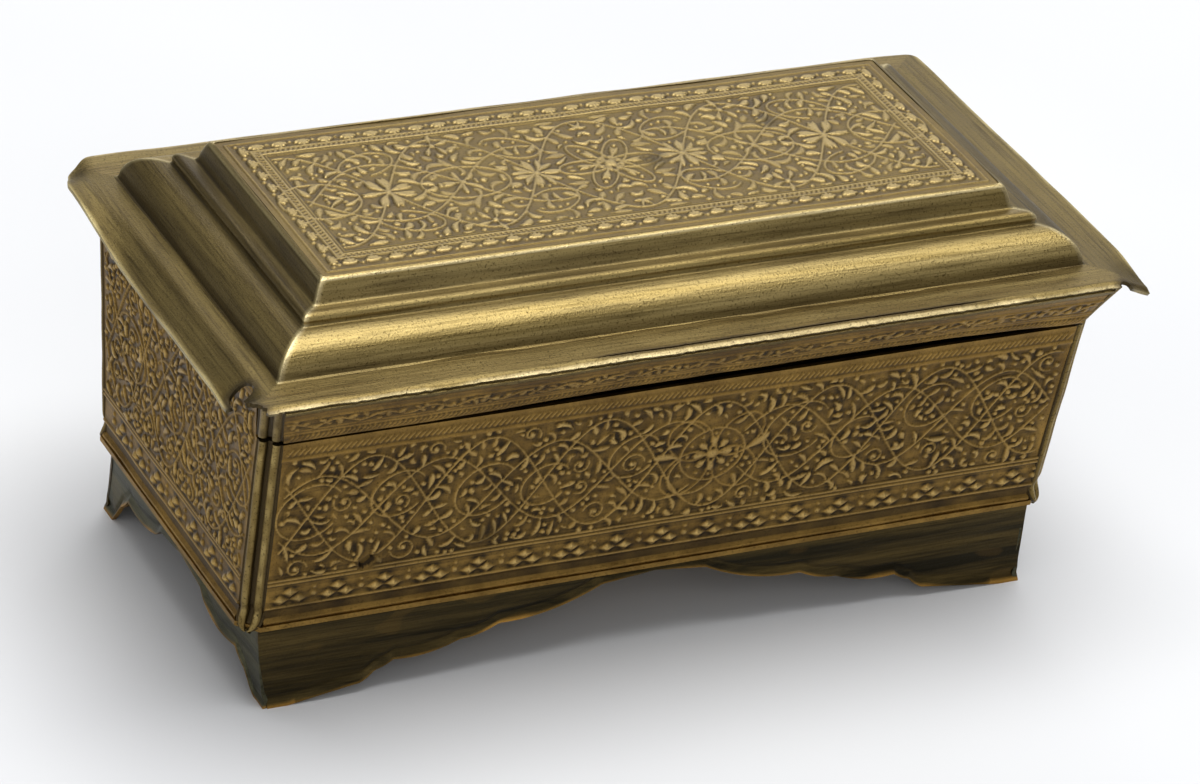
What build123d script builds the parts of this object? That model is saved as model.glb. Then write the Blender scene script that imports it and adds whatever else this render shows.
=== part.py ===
from build123d import *
import os

# Needle case: a small sheet-brass casket on bracket feet with a lid hinged at the back.
# Millimetres. X runs along the case, the front faces -Y, Z is up. The origin is on the
# floor, under the middle of the case.

# Overall sizes
LENGTH = 76.0  # over the flanges at the lid's ends
WIDTH = 39.2  # over the lid's front and back rims
BASE_HEIGHT = 7.3  # floor to the underside of the floor plate
FRONT_HEIGHT = 17.2  # floor plate to the top of the front wall, the parting line
LIP_HEIGHT = 4.25  # parting line to the underside of the lid's rim
LID_RISE = 5.3  # rim to the top of the lid's panel

# Sheets
WALL_SHEET = 0.4
LID_SHEET = 0.35
BASE_SHEET = 0.4
FLOOR_SHEET = 0.4
LEAF_SHEET = 0.25
TRAY_SHEET = 0.3

# Body
END_OVERHANG = 3.0  # lid flange beyond the end wall, at the parting line
FRONT_OVERHANG = 2.6  # lid rim beyond the front wall, at the parting line
END_LEAN = 0.6  # how far an end wall leans out over the front wall's height
SIDE_LEAN = 2.0  # the same for the front and back walls
WALL_HOLLOW = 0.12  # how far a wall's outside dips in at mid-height
WALL_BEAD = 0.25  # how far the turned bottom edge of a wall stands out
WALL_BEAD_HEIGHT = 0.7
CORNER_CUT = 1.5  # corner given up to a reeded strip, along each wall
REED_RADIUS = 0.42
REED_SPACING = 1.1
SCROLL_RADIUS = 0.85  # scroll foot at the bottom of a corner strip
SCROLL_SETBACK = 0.12  # each end of the roll, in from the strip's edge
SCROLL_LIFT = 0.6  # roll's middle above the floor plate
PARTING_GAP = 0.5  # open line between the front wall and the lip
LID_SEAT_GAP = 0.05  # between the walls' tops and the rim
LIP_CLEARANCE = 0.3  # between an end wall's front edge and the corner block
LIP_SETBACK = 0.1  # lip's top edge, in from the rim's front edge

# Lid
END_RIM = 4.2  # flat flange beyond the mouldings at each end
FRONT_RIM = 3.7  # flat rim beyond the mouldings at front and back
MOULDING_RUN = 5.0  # mouldings, from the rim in to the panel's edge
OVOLO_WIDTH = 2.5  # big convex moulding
OVOLO_HEIGHT = 2.45
BEAD_OUT = 2.05  # outermost point of the small bead, from the panel's edge
BEAD_TOP = 3.4  # top of the small bead above the rim
BEAD_UNDERCUT = 0.12  # the bead's foot, in from its outermost point
BEAD_MIDDLE = 0.35  # height of that point above the ovolo
BEAD_ROUND = 0.5  # where the bead's top goes flat, in from that point
FACE_OUT = 0.5  # foot of the panel's upright face, from the panel's edge
ARRIS_RADIUS = 0.35
NOTCH_RADIUS = 0.8  # relief notch between the front rim and an end flange
NOTCH_INSET = 1.3  # notch centre, in from the flange's end
FLANGE_CORNER_RADIUS = 0.9
LIP_BEAD = 0.15  # how far the strip along the bottom of the lip stands out
LIP_BEAD_HEIGHT = 0.8
HEM_DEPTH = 1.5  # turned-down rear edge of the rim; it stops the lid past upright
HEM_END_INSET = 3.0

# Base
FRONT_SETBACK = 0.4  # front and back base strips stand in from the floor plate's edge
END_SETBACK = 1.5  # the same at the ends
FOOT_FLARE = 0.2
FOOT_FLARE_HEIGHT = 2.4
TOE = 1.8  # what a foot rests on, along each strip
LOBE_SAG = 0.07  # how far a lobe of the apron hangs, as a share of its length
CROWN_RISE = 0.02  # the same for the middle arch, upwards

# Hinge
KNUCKLES = 9
KNUCKLE_LENGTH = 6.0
KNUCKLE_GAP = 0.1
KNUCKLE_RADIUS = 0.7
PIN_RADIUS = 0.32
PIN_CLEARANCE = 0.05  # pin in the lid's knuckles
PIN_FIT = 0.02  # pin in the case's knuckles
LEAF_CLEARANCE = 0.08  # knuckle to the other leaf's plate
CASE_LEAF_DEPTH = 3.5
WEB = 0.45  # neck that joins a knuckle to its leaf

# Packet tray
TRAY_CLEARANCE = 0.15
TRAY_HEIGHT = 15.5
SLOTS = 4
DIVIDER_DROP = 1.0  # dividers stop below the tray's top
FINGER_RADIUS = 7.0
FINGER_DROP = 3.0
SLOT_CLEARANCE = 0.02  # divider to tray

# Heights
WALL_Z = BASE_HEIGHT + FLOOR_SHEET
PARTING_Z = WALL_Z + FRONT_HEIGHT
RIM_Z = PARTING_Z + LIP_HEIGHT
RIM_TOP_Z = RIM_Z + LID_SHEET
WALL_TOP_Z = RIM_Z - LID_SEAT_GAP
FRONT_TOP_Z = PARTING_Z - PARTING_GAP / 2
LIP_BOTTOM_Z = PARTING_Z + PARTING_GAP / 2

# Half sizes in plan
PARTING_X = LENGTH / 2 - END_OVERHANG
PARTING_Y = WIDTH / 2 - FRONT_OVERHANG
FOOT_X = PARTING_X - END_LEAN
FOOT_Y = PARTING_Y - SIDE_LEAN
FLOOR_X = FOOT_X + WALL_BEAD
FLOOR_Y = FOOT_Y + WALL_BEAD
BASE_X = FLOOR_X - END_SETBACK
BASE_Y = FLOOR_Y - FRONT_SETBACK
PANEL_X = LENGTH / 2 - END_RIM - MOULDING_RUN
PANEL_Y = WIDTH / 2 - FRONT_RIM - MOULDING_RUN
FAR = LENGTH + WIDTH  # longer than anything here
MARGIN = 1.0  # how far a cutting shape runs past what it cuts
DIAGONAL = 0.5**0.5


def wall_x(z):
    """Outer half length of the body at height z, without the mouldings."""
    return FOOT_X + END_LEAN * (z - WALL_Z) / FRONT_HEIGHT


def wall_y(z):
    """Outer half width of the body at height z, without the mouldings."""
    return FOOT_Y + SIDE_LEAN * (z - WALL_Z) / FRONT_HEIGHT


HINGE_Z = RIM_Z - LEAF_SHEET - LEAF_CLEARANCE - KNUCKLE_RADIUS
HINGE_Y = wall_y(HINGE_Z) + LEAF_SHEET + LEAF_CLEARANCE + KNUCKLE_RADIUS

SIDES = {"front": -1, "back": 1}
ENDS = {"left": -1, "right": 1}


def along_x(outline, half):
    """Extrude a (y, z) outline along X, from -half to half."""
    return extrude(Plane.YZ * outline, half, both=True)


def along_y(outline, half):
    """Extrude an (x, z) outline along Y, from -half to half."""
    return extrude(Plane.XZ * outline, half, both=True)


def polygon(points):
    """Flat face with straight edges through points."""
    return make_face(Polyline(*points, close=True))


def mitred_block(half_x, half_y, outline):
    """Solid whose sides follow one outline at the front, back and both ends."""
    return along_y(outline(half_x), FAR) & along_x(outline(half_y), FAR)


def mirrored_outline(right_edges, top, bottom):
    """Face between right_edges, listed from the bottom up, and their mirror image."""
    left_edges = [mirror(edge, Plane.YZ) for edge in right_edges]
    ends = [
        Line((-bottom[0], bottom[1]), bottom),
        Line((-top[0], top[1]), top),
    ]
    return make_face(right_edges + left_edges + ends)


def node(name, shape):
    """Write one piece, named as its node."""
    export_step(shape, f"parts/{name}.step")


# Lid ------------------------------------------------------------------------------------


def lid_outline(half):
    """Outside of the lid: ovolo, small bead, upright face and rounded arris."""
    z = RIM_TOP_Z
    foot = half + MOULDING_RUN
    shoulder = foot - OVOLO_WIDTH
    bead_x = half + BEAD_OUT
    bead_z = z + OVOLO_HEIGHT
    top_z = z + LID_RISE
    bend = ARRIS_RADIUS * (1 - DIAGONAL)
    edges = [
        Line((foot, z - LID_SHEET), (foot, z)),
        ThreePointArc(
            (foot, z),
            (foot - OVOLO_WIDTH * (1 - DIAGONAL), z + OVOLO_HEIGHT * DIAGONAL),
            (shoulder, z + OVOLO_HEIGHT),
        ),
        Line((shoulder, bead_z), (bead_x - BEAD_UNDERCUT, bead_z)),
        ThreePointArc(
            (bead_x - BEAD_UNDERCUT, bead_z),
            (bead_x, bead_z + BEAD_MIDDLE),
            (bead_x - BEAD_ROUND, z + BEAD_TOP),
        ),
        Line((bead_x - BEAD_ROUND, z + BEAD_TOP), (half + FACE_OUT, z + BEAD_TOP)),
        Line((half + FACE_OUT, z + BEAD_TOP), (half, top_z - ARRIS_RADIUS)),
        ThreePointArc(
            (half, top_z - ARRIS_RADIUS),
            (half - bend, top_z - bend),
            (half - ARRIS_RADIUS, top_z),
        ),
    ]
    return mirrored_outline(edges, (half - ARRIS_RADIUS, top_z), (foot, z - LID_SHEET))


def lid_hollow_outline(half):
    """Inside of the lid, one sheet in from the outside, open at the bottom."""
    z = RIM_TOP_Z
    foot = half + MOULDING_RUN - LID_SHEET
    shoulder = half + MOULDING_RUN - OVOLO_WIDTH
    step = half + FACE_OUT + LID_SHEET
    shoulder_z = z + OVOLO_HEIGHT - LID_SHEET
    ledge_z = z + BEAD_TOP - LID_SHEET
    top_z = z + LID_RISE - LID_SHEET
    edges = [
        Line((foot, RIM_Z - LID_SHEET), (foot, z)),
        ThreePointArc(
            (foot, z),
            (foot - OVOLO_WIDTH * (1 - DIAGONAL), z + (OVOLO_HEIGHT - LID_SHEET) * DIAGONAL),
            (shoulder, shoulder_z),
        ),
        Line((shoulder, shoulder_z), (step, shoulder_z)),
        Line((step, shoulder_z), (step, ledge_z)),
        Line((step, ledge_z), (half + FACE_OUT - LID_SHEET, ledge_z)),
        Line((half + FACE_OUT - LID_SHEET, ledge_z), (half - LID_SHEET, top_z)),
    ]
    return mirrored_outline(edges, (half - LID_SHEET, top_z), (foot, RIM_Z - LID_SHEET))


def rim_plate():
    """Flat rim with rounded rear corners and a relief notch by each front corner."""
    plan = Pos(0, 0, RIM_Z) * Rectangle(LENGTH, WIDTH)
    plate = extrude(plan, LID_SHEET)
    plate = fillet(plate.edges().filter_by(Axis.Z), FLANGE_CORNER_RADIUS)
    for sign in ENDS.values():
        centre = Pos(sign * (LENGTH / 2 - NOTCH_INSET), -WIDTH / 2, RIM_Z)
        plate -= centre * Cylinder(NOTCH_RADIUS, MARGIN)
    return plate


def rear_hem():
    """Turned-down edge along the back of the rim."""
    length = LENGTH - 2 * HEM_END_INSET
    hem = Box(length, LID_SHEET, HEM_DEPTH, align=(Align.CENTER, Align.MAX, Align.MAX))
    return Pos(0, WIDTH / 2, RIM_Z) * hem


def lid_cover():
    """One stamping: panel, mouldings and rim."""
    outside = mitred_block(PANEL_X, PANEL_Y, lid_outline)
    hollow = mitred_block(PANEL_X, PANEL_Y, lid_hollow_outline)
    return outside + rim_plate() + rear_hem() - hollow


def corner_section(sheet):
    """Strip across a corner, in plan, seen from the corner point towards +X and +Y."""
    cut = CORNER_CUT
    strip = polygon([(-cut, 0), (0, -cut), (-sheet, -cut), (-cut, -sheet)])
    middle = -cut / 2
    for side in (-1, 1):
        shift = side * REED_SPACING / 2 * DIAGONAL
        strip += Pos(middle + shift, middle - shift) * Circle(REED_RADIUS)
    far = MARGIN
    across = polygon([(-cut, far), (far, far), (far, -cut), (-sheet, -cut), (-cut, -sheet)])
    return strip & across


def corner_loft(foot, head, sheet):
    """Strip over the corner at +X and +Y, between two corner points, each (x, y, z)."""
    section = corner_section(sheet).faces()[0]
    return loft([Pos(*foot) * section, Pos(*head) * section], ruled=True)


def at_corner(shape, x_sign, y_sign):
    """A shape made for the corner at +X and +Y, mirrored to its own corner."""
    if x_sign < 0:
        shape = mirror(shape, Plane.YZ)
    if y_sign < 0:
        shape = mirror(shape, Plane.XZ)
    return shape


LIP_LEAN = (FRONT_OVERHANG - LIP_SETBACK) / LIP_HEIGHT


def lip_y(z):
    """Outside of the lip at height z, as a distance from the middle."""
    return PARTING_Y + (z - PARTING_Z) * LIP_LEAN


def lip_x(z):
    """Half length of the lip at its corner, at height z."""
    return PARTING_X + (z - PARTING_Z) * LIP_LEAN / 2


def lid_front_lip():
    """Flared strip with a slightly raised band along its bottom."""
    low, high = LIP_BOTTOM_Z, RIM_Z
    band = low + LIP_BEAD_HEIGHT
    outline = polygon(
        [
            (-lip_y(low) - LIP_BEAD, low),
            (-lip_y(band) - LIP_BEAD, band),
            (-lip_y(band), band),
            (-lip_y(high), high),
            (-lip_y(high) + LID_SHEET, high),
            (-lip_y(low) + LID_SHEET, low),
        ]
    )
    side = polygon(
        [
            (-lip_x(low) + CORNER_CUT, low),
            (lip_x(low) - CORNER_CUT, low),
            (lip_x(high) - CORNER_CUT, high),
            (-lip_x(high) + CORNER_CUT, high),
        ]
    )
    return along_x(outline, LENGTH) & along_y(side, WIDTH)


def lip_corner(sign):
    """Reeded block that closes one end of the lip."""
    low, high = LIP_BOTTOM_Z, RIM_Z
    foot = (lip_x(low), lip_y(low), low)
    head = (lip_x(high), lip_y(high), high)
    return at_corner(corner_loft(foot, head, LID_SHEET), sign, -1)


# Hinge ----------------------------------------------------------------------------------


def knuckle_spans(first):
    """X spans of every second knuckle, starting with number first."""
    start = -KNUCKLES * KNUCKLE_LENGTH / 2
    spans = []
    for number in range(first, KNUCKLES, 2):
        low = start + number * KNUCKLE_LENGTH + KNUCKLE_GAP / 2
        spans.append((low, low + KNUCKLE_LENGTH - KNUCKLE_GAP))
    return spans


def bar(span, y_span, z_span):
    """Box between two values on each axis."""
    sizes = [high - low for low, high in (span, y_span, z_span)]
    corner = (Align.MIN, Align.MIN, Align.MIN)
    return Pos(span[0], y_span[0], z_span[0]) * Box(*sizes, align=corner)


def barrel(span, radius):
    """Cylinder on the hinge axis over an X span."""
    disc = Plane.YZ * (Pos(HINGE_Y, HINGE_Z) * Circle(radius))
    return Pos(span[0], 0, 0) * extrude(disc, span[1] - span[0])


HINGE_HALF = KNUCKLES * KNUCKLE_LENGTH / 2 - KNUCKLE_GAP / 2
BARREL_EASE = KNUCKLE_RADIUS / 2  # how far a neck reaches into its knuckle


def lid_hinge_leaf():
    """Strip under the rim with the even knuckles hanging from it."""
    plate_z = RIM_Z - LEAF_SHEET
    leaf = bar(
        (-HINGE_HALF, HINGE_HALF),
        (HINGE_Y - KNUCKLE_RADIUS, WIDTH / 2 - LID_SHEET),
        (plate_z, RIM_Z),
    )
    for span in knuckle_spans(1):
        neck_y = (HINGE_Y - WEB / 2, HINGE_Y + WEB / 2)
        leaf += bar(span, neck_y, (HINGE_Z + BARREL_EASE, plate_z))
        leaf += barrel(span, KNUCKLE_RADIUS)
    return leaf - barrel((-FAR, FAR), PIN_RADIUS + PIN_CLEARANCE)


def case_hinge_leaf():
    """Strip on the outside of the back wall with the odd knuckles."""
    low = HINGE_Z - CASE_LEAF_DEPTH
    high = HINGE_Z + WEB
    outline = polygon(
        [
            (wall_y(low), low),
            (wall_y(low) + LEAF_SHEET, low),
            (wall_y(high) + LEAF_SHEET, high),
            (wall_y(high), high),
        ]
    )
    leaf = along_x(outline, HINGE_HALF)
    for span in knuckle_spans(0):
        neck_y = (wall_y(low) + LEAF_SHEET, HINGE_Y - BARREL_EASE)
        neck = bar(span, neck_y, (HINGE_Z - WEB / 2, HINGE_Z + WEB / 2))
        leaf += neck - along_x(wall_slab(), FAR)
        leaf += barrel(span, KNUCKLE_RADIUS)
    return leaf - barrel((-FAR, FAR), PIN_RADIUS + PIN_FIT)


def wall_slab():
    """Everything inside the back wall's outer plane, as a (y, z) outline."""
    return polygon(
        [
            (0, WALL_Z),
            (wall_y(WALL_Z), WALL_Z),
            (wall_y(RIM_Z), RIM_Z),
            (0, RIM_Z),
        ]
    )


def hinge_pin():
    """Brass wire through all the knuckles."""
    return barrel((-HINGE_HALF, HINGE_HALF), PIN_RADIUS)


# Body -----------------------------------------------------------------------------------


def wall_outline(wall_at, top_z):
    """Section of a wall: turned bottom edge, groove and slightly hollow face."""
    bead_z = WALL_Z + WALL_BEAD_HEIGHT
    middle_z = (bead_z + PARTING_Z) / 2
    edges = [
        Line((wall_at(WALL_Z) - WALL_SHEET, WALL_Z), (wall_at(WALL_Z) + WALL_BEAD, WALL_Z)),
        Line((wall_at(WALL_Z) + WALL_BEAD, WALL_Z), (wall_at(bead_z), bead_z)),
        ThreePointArc(
            (wall_at(bead_z), bead_z),
            (wall_at(middle_z) - WALL_HOLLOW, middle_z),
            (wall_at(PARTING_Z - PARTING_GAP), PARTING_Z - PARTING_GAP),
        ),
        Line(
            (wall_at(PARTING_Z - PARTING_GAP), PARTING_Z - PARTING_GAP),
            (wall_at(top_z), top_z),
        ),
        Line((wall_at(top_z), top_z), (wall_at(top_z) - WALL_SHEET, top_z)),
        Line(
            (wall_at(top_z) - WALL_SHEET, top_z),
            (wall_at(WALL_Z) - WALL_SHEET, WALL_Z),
        ),
    ]
    return make_face(edges)


def wall_edges(wall_at, top_z):
    """Elevation of a wall between the corner strips."""
    low, high = wall_at(WALL_Z) - CORNER_CUT, wall_at(top_z) - CORNER_CUT
    return [(-low, WALL_Z), (low, WALL_Z), (high, top_z), (-high, top_z)]


def long_wall(sign, top_z):
    """Front or back wall."""
    wall = along_x(wall_outline(wall_y, top_z), FAR)
    wall = wall & along_y(polygon(wall_edges(wall_x, top_z)), FAR)
    return wall if sign > 0 else mirror(wall, Plane.XZ)


def end_wall(sign):
    """End wall; above the parting line its front edge clears the lid's corner block."""
    wall = along_y(wall_outline(wall_x, WALL_TOP_Z), FAR)
    foot_left, foot_right, head_right, _ = wall_edges(wall_y, WALL_TOP_Z)
    front_y = wall_y(FRONT_TOP_Z) - CORNER_CUT
    step_y = -front_y + LIP_CLEARANCE
    elevation = [
        foot_left,
        foot_right,
        head_right,
        (step_y, WALL_TOP_Z),
        (step_y, FRONT_TOP_Z),
        (-front_y, FRONT_TOP_Z),
    ]
    wall = wall & along_x(polygon(elevation), FAR)
    return wall if sign > 0 else mirror(wall, Plane.YZ)


def scroll_foot():
    """Small roll across the foot of a corner strip, over the corner at +X and +Y."""
    cut, reach = CORNER_CUT, 2 * SCROLL_RADIUS
    length = cut / DIAGONAL - 2 * SCROLL_SETBACK
    corner = Pos(wall_x(WALL_Z), wall_y(WALL_Z), WALL_Z + SCROLL_LIFT)
    roll = Rot(0, 0, -45) * Rot(0, 90, 0) * Cylinder(SCROLL_RADIUS, length)
    outside = polygon([(-cut, 0), (-cut, reach), (reach, reach), (reach, -cut), (0, -cut)])
    roll = Pos(-cut / 2, -cut / 2) * roll & extrude(outside, reach, both=True)
    return corner * roll - floor_plate()


def corner_strip(x_sign, y_sign):
    """Reeded strip over a body corner, ending in a scroll foot."""
    top_z = FRONT_TOP_Z if y_sign < 0 else WALL_TOP_Z
    foot = (wall_x(WALL_Z), wall_y(WALL_Z), WALL_Z)
    head = (wall_x(top_z), wall_y(top_z), top_z)
    strip = corner_loft(foot, head, WALL_SHEET) + scroll_foot()
    return at_corner(strip, x_sign, y_sign)


def floor_plate():
    """Bottom of the body, its corners cut off under the corner strips."""
    plan = Rectangle(2 * FLOOR_X, 2 * FLOOR_Y)
    plan = chamfer(plan.vertices(), CORNER_CUT)
    return Pos(0, 0, BASE_HEIGHT) * extrude(plan, FLOOR_SHEET)


# Base -----------------------------------------------------------------------------------


def base_outline(half):
    """Outside of the base: upright, with a foot that curls out to the floor."""
    flare_z = FOOT_FLARE_HEIGHT
    edges = [
        TangentArc((half, flare_z), (half + FOOT_FLARE, 0), tangent=(0, -1)),
        Line((half, flare_z), (half, BASE_HEIGHT)),
    ]
    return mirrored_outline(edges, (half, BASE_HEIGHT), (half + FOOT_FLARE, 0))


def base_block():
    """Filled outer shape of the base."""
    return mitred_block(BASE_X, BASE_Y, base_outline)


def arch(half, cusps, crown_depth):
    """Opening of an apron, (distance from the middle, z), from the toe inwards.

    Each cusp is (distance in from the base's corner, depth below its top). The edge runs
    straight from the toe to the first cusp and hangs between the others in shallow lobes.
    """
    toe = (half + FOOT_FLARE - TOE, 0)
    points = [(half - inset, BASE_HEIGHT - depth) for inset, depth in cusps]
    crown = (0, BASE_HEIGHT - crown_depth)
    edges = [
        Line((0, -MARGIN), (toe[0], -MARGIN)),
        Line((toe[0], -MARGIN), toe),
        Line(toe, points[0]),
    ]
    lobes = list(zip(points, points[1:] + [crown]))
    for (u0, z0), (u1, z1) in lobes:
        bow = -CROWN_RISE if u1 == 0 else LOBE_SAG
        middle = ((u0 + u1) / 2, (z0 + z1) / 2 - bow * (u0 - u1))
        edges.append(ThreePointArc((u0, z0), middle, (u1, z1)))
    edges.append(Line(crown, (0, -MARGIN)))
    half_face = make_face(edges)
    return half_face + mirror(half_face, Plane.YZ)


FRONT_CUSPS = [(8.75, 6.3), (9.85, 5.4), (11.35, 4.7), (16.75, 3.9), (20.05, 3.0), (28.65, 1.0)]
END_CUSPS = [(2.65, 5.4), (4.05, 4.1), (9.85, 3.6), (10.65, 2.85)]
FRONT_CROWN = 0.5
END_CROWN = 2.3


def base_strip(side_x, side_y):
    """One of the four strips, mitred at its corners, with its apron cut out."""
    shell = base_block() - mitred_block(BASE_X - BASE_SHEET, BASE_Y - BASE_SHEET, base_outline)
    depth = BASE_Y / 2
    if side_y:
        near, far = BASE_Y - depth, BASE_Y + FOOT_FLARE + MARGIN
        spread = BASE_X - BASE_Y
        plan = [
            (-near - spread, side_y * near),
            (near + spread, side_y * near),
            (far + spread, side_y * far),
            (-far - spread, side_y * far),
        ]
        cut = along_y(arch(BASE_X, FRONT_CUSPS, FRONT_CROWN), FAR)
    else:
        near, far = BASE_X - depth, BASE_X + FOOT_FLARE + MARGIN
        spread = BASE_Y - BASE_X
        plan = [
            (side_x * near, -near - spread),
            (side_x * near, near + spread),
            (side_x * far, far + spread),
            (side_x * far, -far - spread),
        ]
        cut = along_x(arch(BASE_Y, END_CUSPS, END_CROWN), FAR)
    return shell & extrude(polygon(plan), BASE_HEIGHT) - cut


# Packet tray ----------------------------------------------------------------------------

TRAY_X = wall_x(WALL_Z) - WALL_SHEET - TRAY_CLEARANCE
TRAY_Y = wall_y(WALL_Z) - WALL_SHEET - TRAY_CLEARANCE
SLOT_WIDTH = (2 * TRAY_Y - (SLOTS - 1) * TRAY_SHEET) / SLOTS


def packet_tray():
    """Floor and two ends that hold the dividers, corners cut to pass the corner strips."""
    plan = Rectangle(2 * TRAY_X, 2 * TRAY_Y)
    corner = CORNER_CUT - WALL_SHEET - TRAY_CLEARANCE / 2
    plan = chamfer(plan.vertices(), corner)
    block = Pos(0, 0, WALL_Z) * extrude(plan, TRAY_HEIGHT)
    inside = (TRAY_SHEET - TRAY_X, TRAY_X - TRAY_SHEET)
    return block - bar(inside, (-FAR, FAR), (WALL_Z + TRAY_SHEET, FAR))


def packet_divider(number):
    """Upright sheet between two slots, with a finger dip in the middle."""
    centre = -TRAY_Y + number * (SLOT_WIDTH + TRAY_SHEET) - TRAY_SHEET / 2
    half = TRAY_X - TRAY_SHEET - SLOT_CLEARANCE
    top = WALL_Z + TRAY_HEIGHT - DIVIDER_DROP
    sheet = bar(
        (-half, half),
        (centre - TRAY_SHEET / 2, centre + TRAY_SHEET / 2),
        (WALL_Z + TRAY_SHEET, top),
    )
    dip = Pos(0, top - FINGER_DROP + FINGER_RADIUS) * Circle(FINGER_RADIUS)
    return sheet - along_y(dip, FAR)


def write_all():
    """Write every piece."""
    node("lid_cover", lid_cover())
    node("lid_front_lip", lid_front_lip())
    node("lid_hinge_leaf", lid_hinge_leaf())
    node("case_hinge_leaf", case_hinge_leaf())
    node("hinge_pin", hinge_pin())
    node("front_wall", long_wall(-1, FRONT_TOP_Z))
    node("back_wall", long_wall(1, WALL_TOP_Z))
    node("floor_plate", floor_plate())
    node("packet_tray", packet_tray())
    for number in range(1, SLOTS):
        node(f"packet_divider_{number}", packet_divider(number))
    for end, x_sign in ENDS.items():
        node(f"lip_corner_{end}", lip_corner(x_sign))
        node(f"{end}_end_wall", end_wall(x_sign))
        node(f"base_{end}", base_strip(x_sign, 0))
        for side, y_sign in SIDES.items():
            node(f"corner_strip_{side}_{end}", corner_strip(x_sign, y_sign))
    for side, y_sign in SIDES.items():
        node(f"base_{side}", base_strip(0, y_sign))


os.makedirs("parts", exist_ok=True)
write_all()
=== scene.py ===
import math
import random

import bmesh
import bpy
import numpy as np
from mathutils import Matrix, Vector, noise


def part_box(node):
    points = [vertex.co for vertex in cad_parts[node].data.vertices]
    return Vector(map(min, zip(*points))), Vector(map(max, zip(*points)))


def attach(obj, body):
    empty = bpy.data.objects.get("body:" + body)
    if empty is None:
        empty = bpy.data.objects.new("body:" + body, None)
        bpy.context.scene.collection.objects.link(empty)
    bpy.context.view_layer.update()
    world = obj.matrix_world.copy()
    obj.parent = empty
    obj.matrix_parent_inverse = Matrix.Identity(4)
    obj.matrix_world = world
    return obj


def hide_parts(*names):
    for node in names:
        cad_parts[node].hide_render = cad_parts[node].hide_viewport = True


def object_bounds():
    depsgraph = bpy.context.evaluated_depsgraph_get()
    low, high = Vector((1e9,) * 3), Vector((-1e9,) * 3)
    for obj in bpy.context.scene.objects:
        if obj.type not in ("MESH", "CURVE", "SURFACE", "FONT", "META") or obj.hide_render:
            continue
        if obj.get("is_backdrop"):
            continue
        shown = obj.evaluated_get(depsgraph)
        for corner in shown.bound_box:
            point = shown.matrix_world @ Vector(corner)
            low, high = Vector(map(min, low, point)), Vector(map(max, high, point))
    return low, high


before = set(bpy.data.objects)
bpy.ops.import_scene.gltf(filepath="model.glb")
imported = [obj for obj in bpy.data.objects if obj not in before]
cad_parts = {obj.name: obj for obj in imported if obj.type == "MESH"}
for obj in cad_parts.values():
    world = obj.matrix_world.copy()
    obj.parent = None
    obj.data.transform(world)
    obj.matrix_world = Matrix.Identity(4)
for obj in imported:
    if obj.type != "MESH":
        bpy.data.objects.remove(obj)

# Needle case of stamped sheet brass. Lengths are in mm and become metres as a piece is finished.
# X runs along the case, the front faces -Y, Z is up.
MM = 0.001
CAD_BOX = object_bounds()


def node_box(name):
    """Lowest and highest corners of a CAD node, in mm."""
    low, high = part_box(name)
    return low / MM, high / MM


COVER_LOW, COVER_HIGH = node_box("lid_cover")
LIP_LOW, LIP_HIGH = node_box("lid_front_lip")
FRONT_LOW, FRONT_HIGH = node_box("front_wall")
END_LOW, END_HIGH = node_box("right_end_wall")
BASE_LOW, BASE_HIGH = node_box("base_front")
BASE_END_LOW, BASE_END_HIGH = node_box("base_right")

# Sheets and lid sections, as the CAD has them
LID_SHEET = 0.35
WALL_SHEET = 0.4
CORNER_CUT = 1.5
END_RIM = 4.2
FRONT_RIM = 3.7
MOULDING_RUN = 5.0
LIP_BEAD = 0.15
LIP_SETBACK = 0.1
LIP_CLEARANCE = 0.3
CRACK_START, CRACK_END = -11.0, 26.0  # torn stretch of the front fold
HEM_DEPTH = 1.5
HEM_END_INSET = 3.0

RIM_Z = LIP_HIGH.z
RIM_TOP = RIM_Z + LID_SHEET
LID_X, LID_Y, LID_TOP = COVER_HIGH
PANEL_X = LID_X - END_RIM - MOULDING_RUN
PANEL_Y = LID_Y - FRONT_RIM - MOULDING_RUN
WALL_Z = FRONT_LOW.z
FRONT_TOP = FRONT_HIGH.z
WALL_TOP = END_HIGH.z
SIDE_FOOT = -FRONT_HIGH.y + WALL_SHEET
SIDE_HEAD = -FRONT_LOW.y
END_FOOT = END_LOW.x + WALL_SHEET
END_HEAD = END_HIGH.x


def side_wall_y(z):
    """Outer half width of the body at height z."""
    return SIDE_FOOT + (SIDE_HEAD - SIDE_FOOT) * (z - WALL_Z) / (FRONT_TOP - WALL_Z)


def end_wall_x(z):
    """Outer half length of the body at height z."""
    return END_FOOT + (END_HEAD - END_FOOT) * (z - WALL_Z) / (WALL_TOP - WALL_Z)


def smooth(value):
    """0 to 1 with soft ends."""
    value = min(max(value, 0.0), 1.0)
    return value * value * (3 - 2 * value)


# Relief ---------------------------------------------------------------------------------

CELL = 0.115  # grid of the stamped panels
CLEAR = 0.27  # centre of a new stroke from the edge of one already stamped
HOLLOW_DEPTH = 0.07  # how far below its surroundings the ground counts as fully hollow
ONE = ((1, 1),)
QUARTERS = ((1, 1), (-1, 1), (1, -1), (-1, -1))


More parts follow.
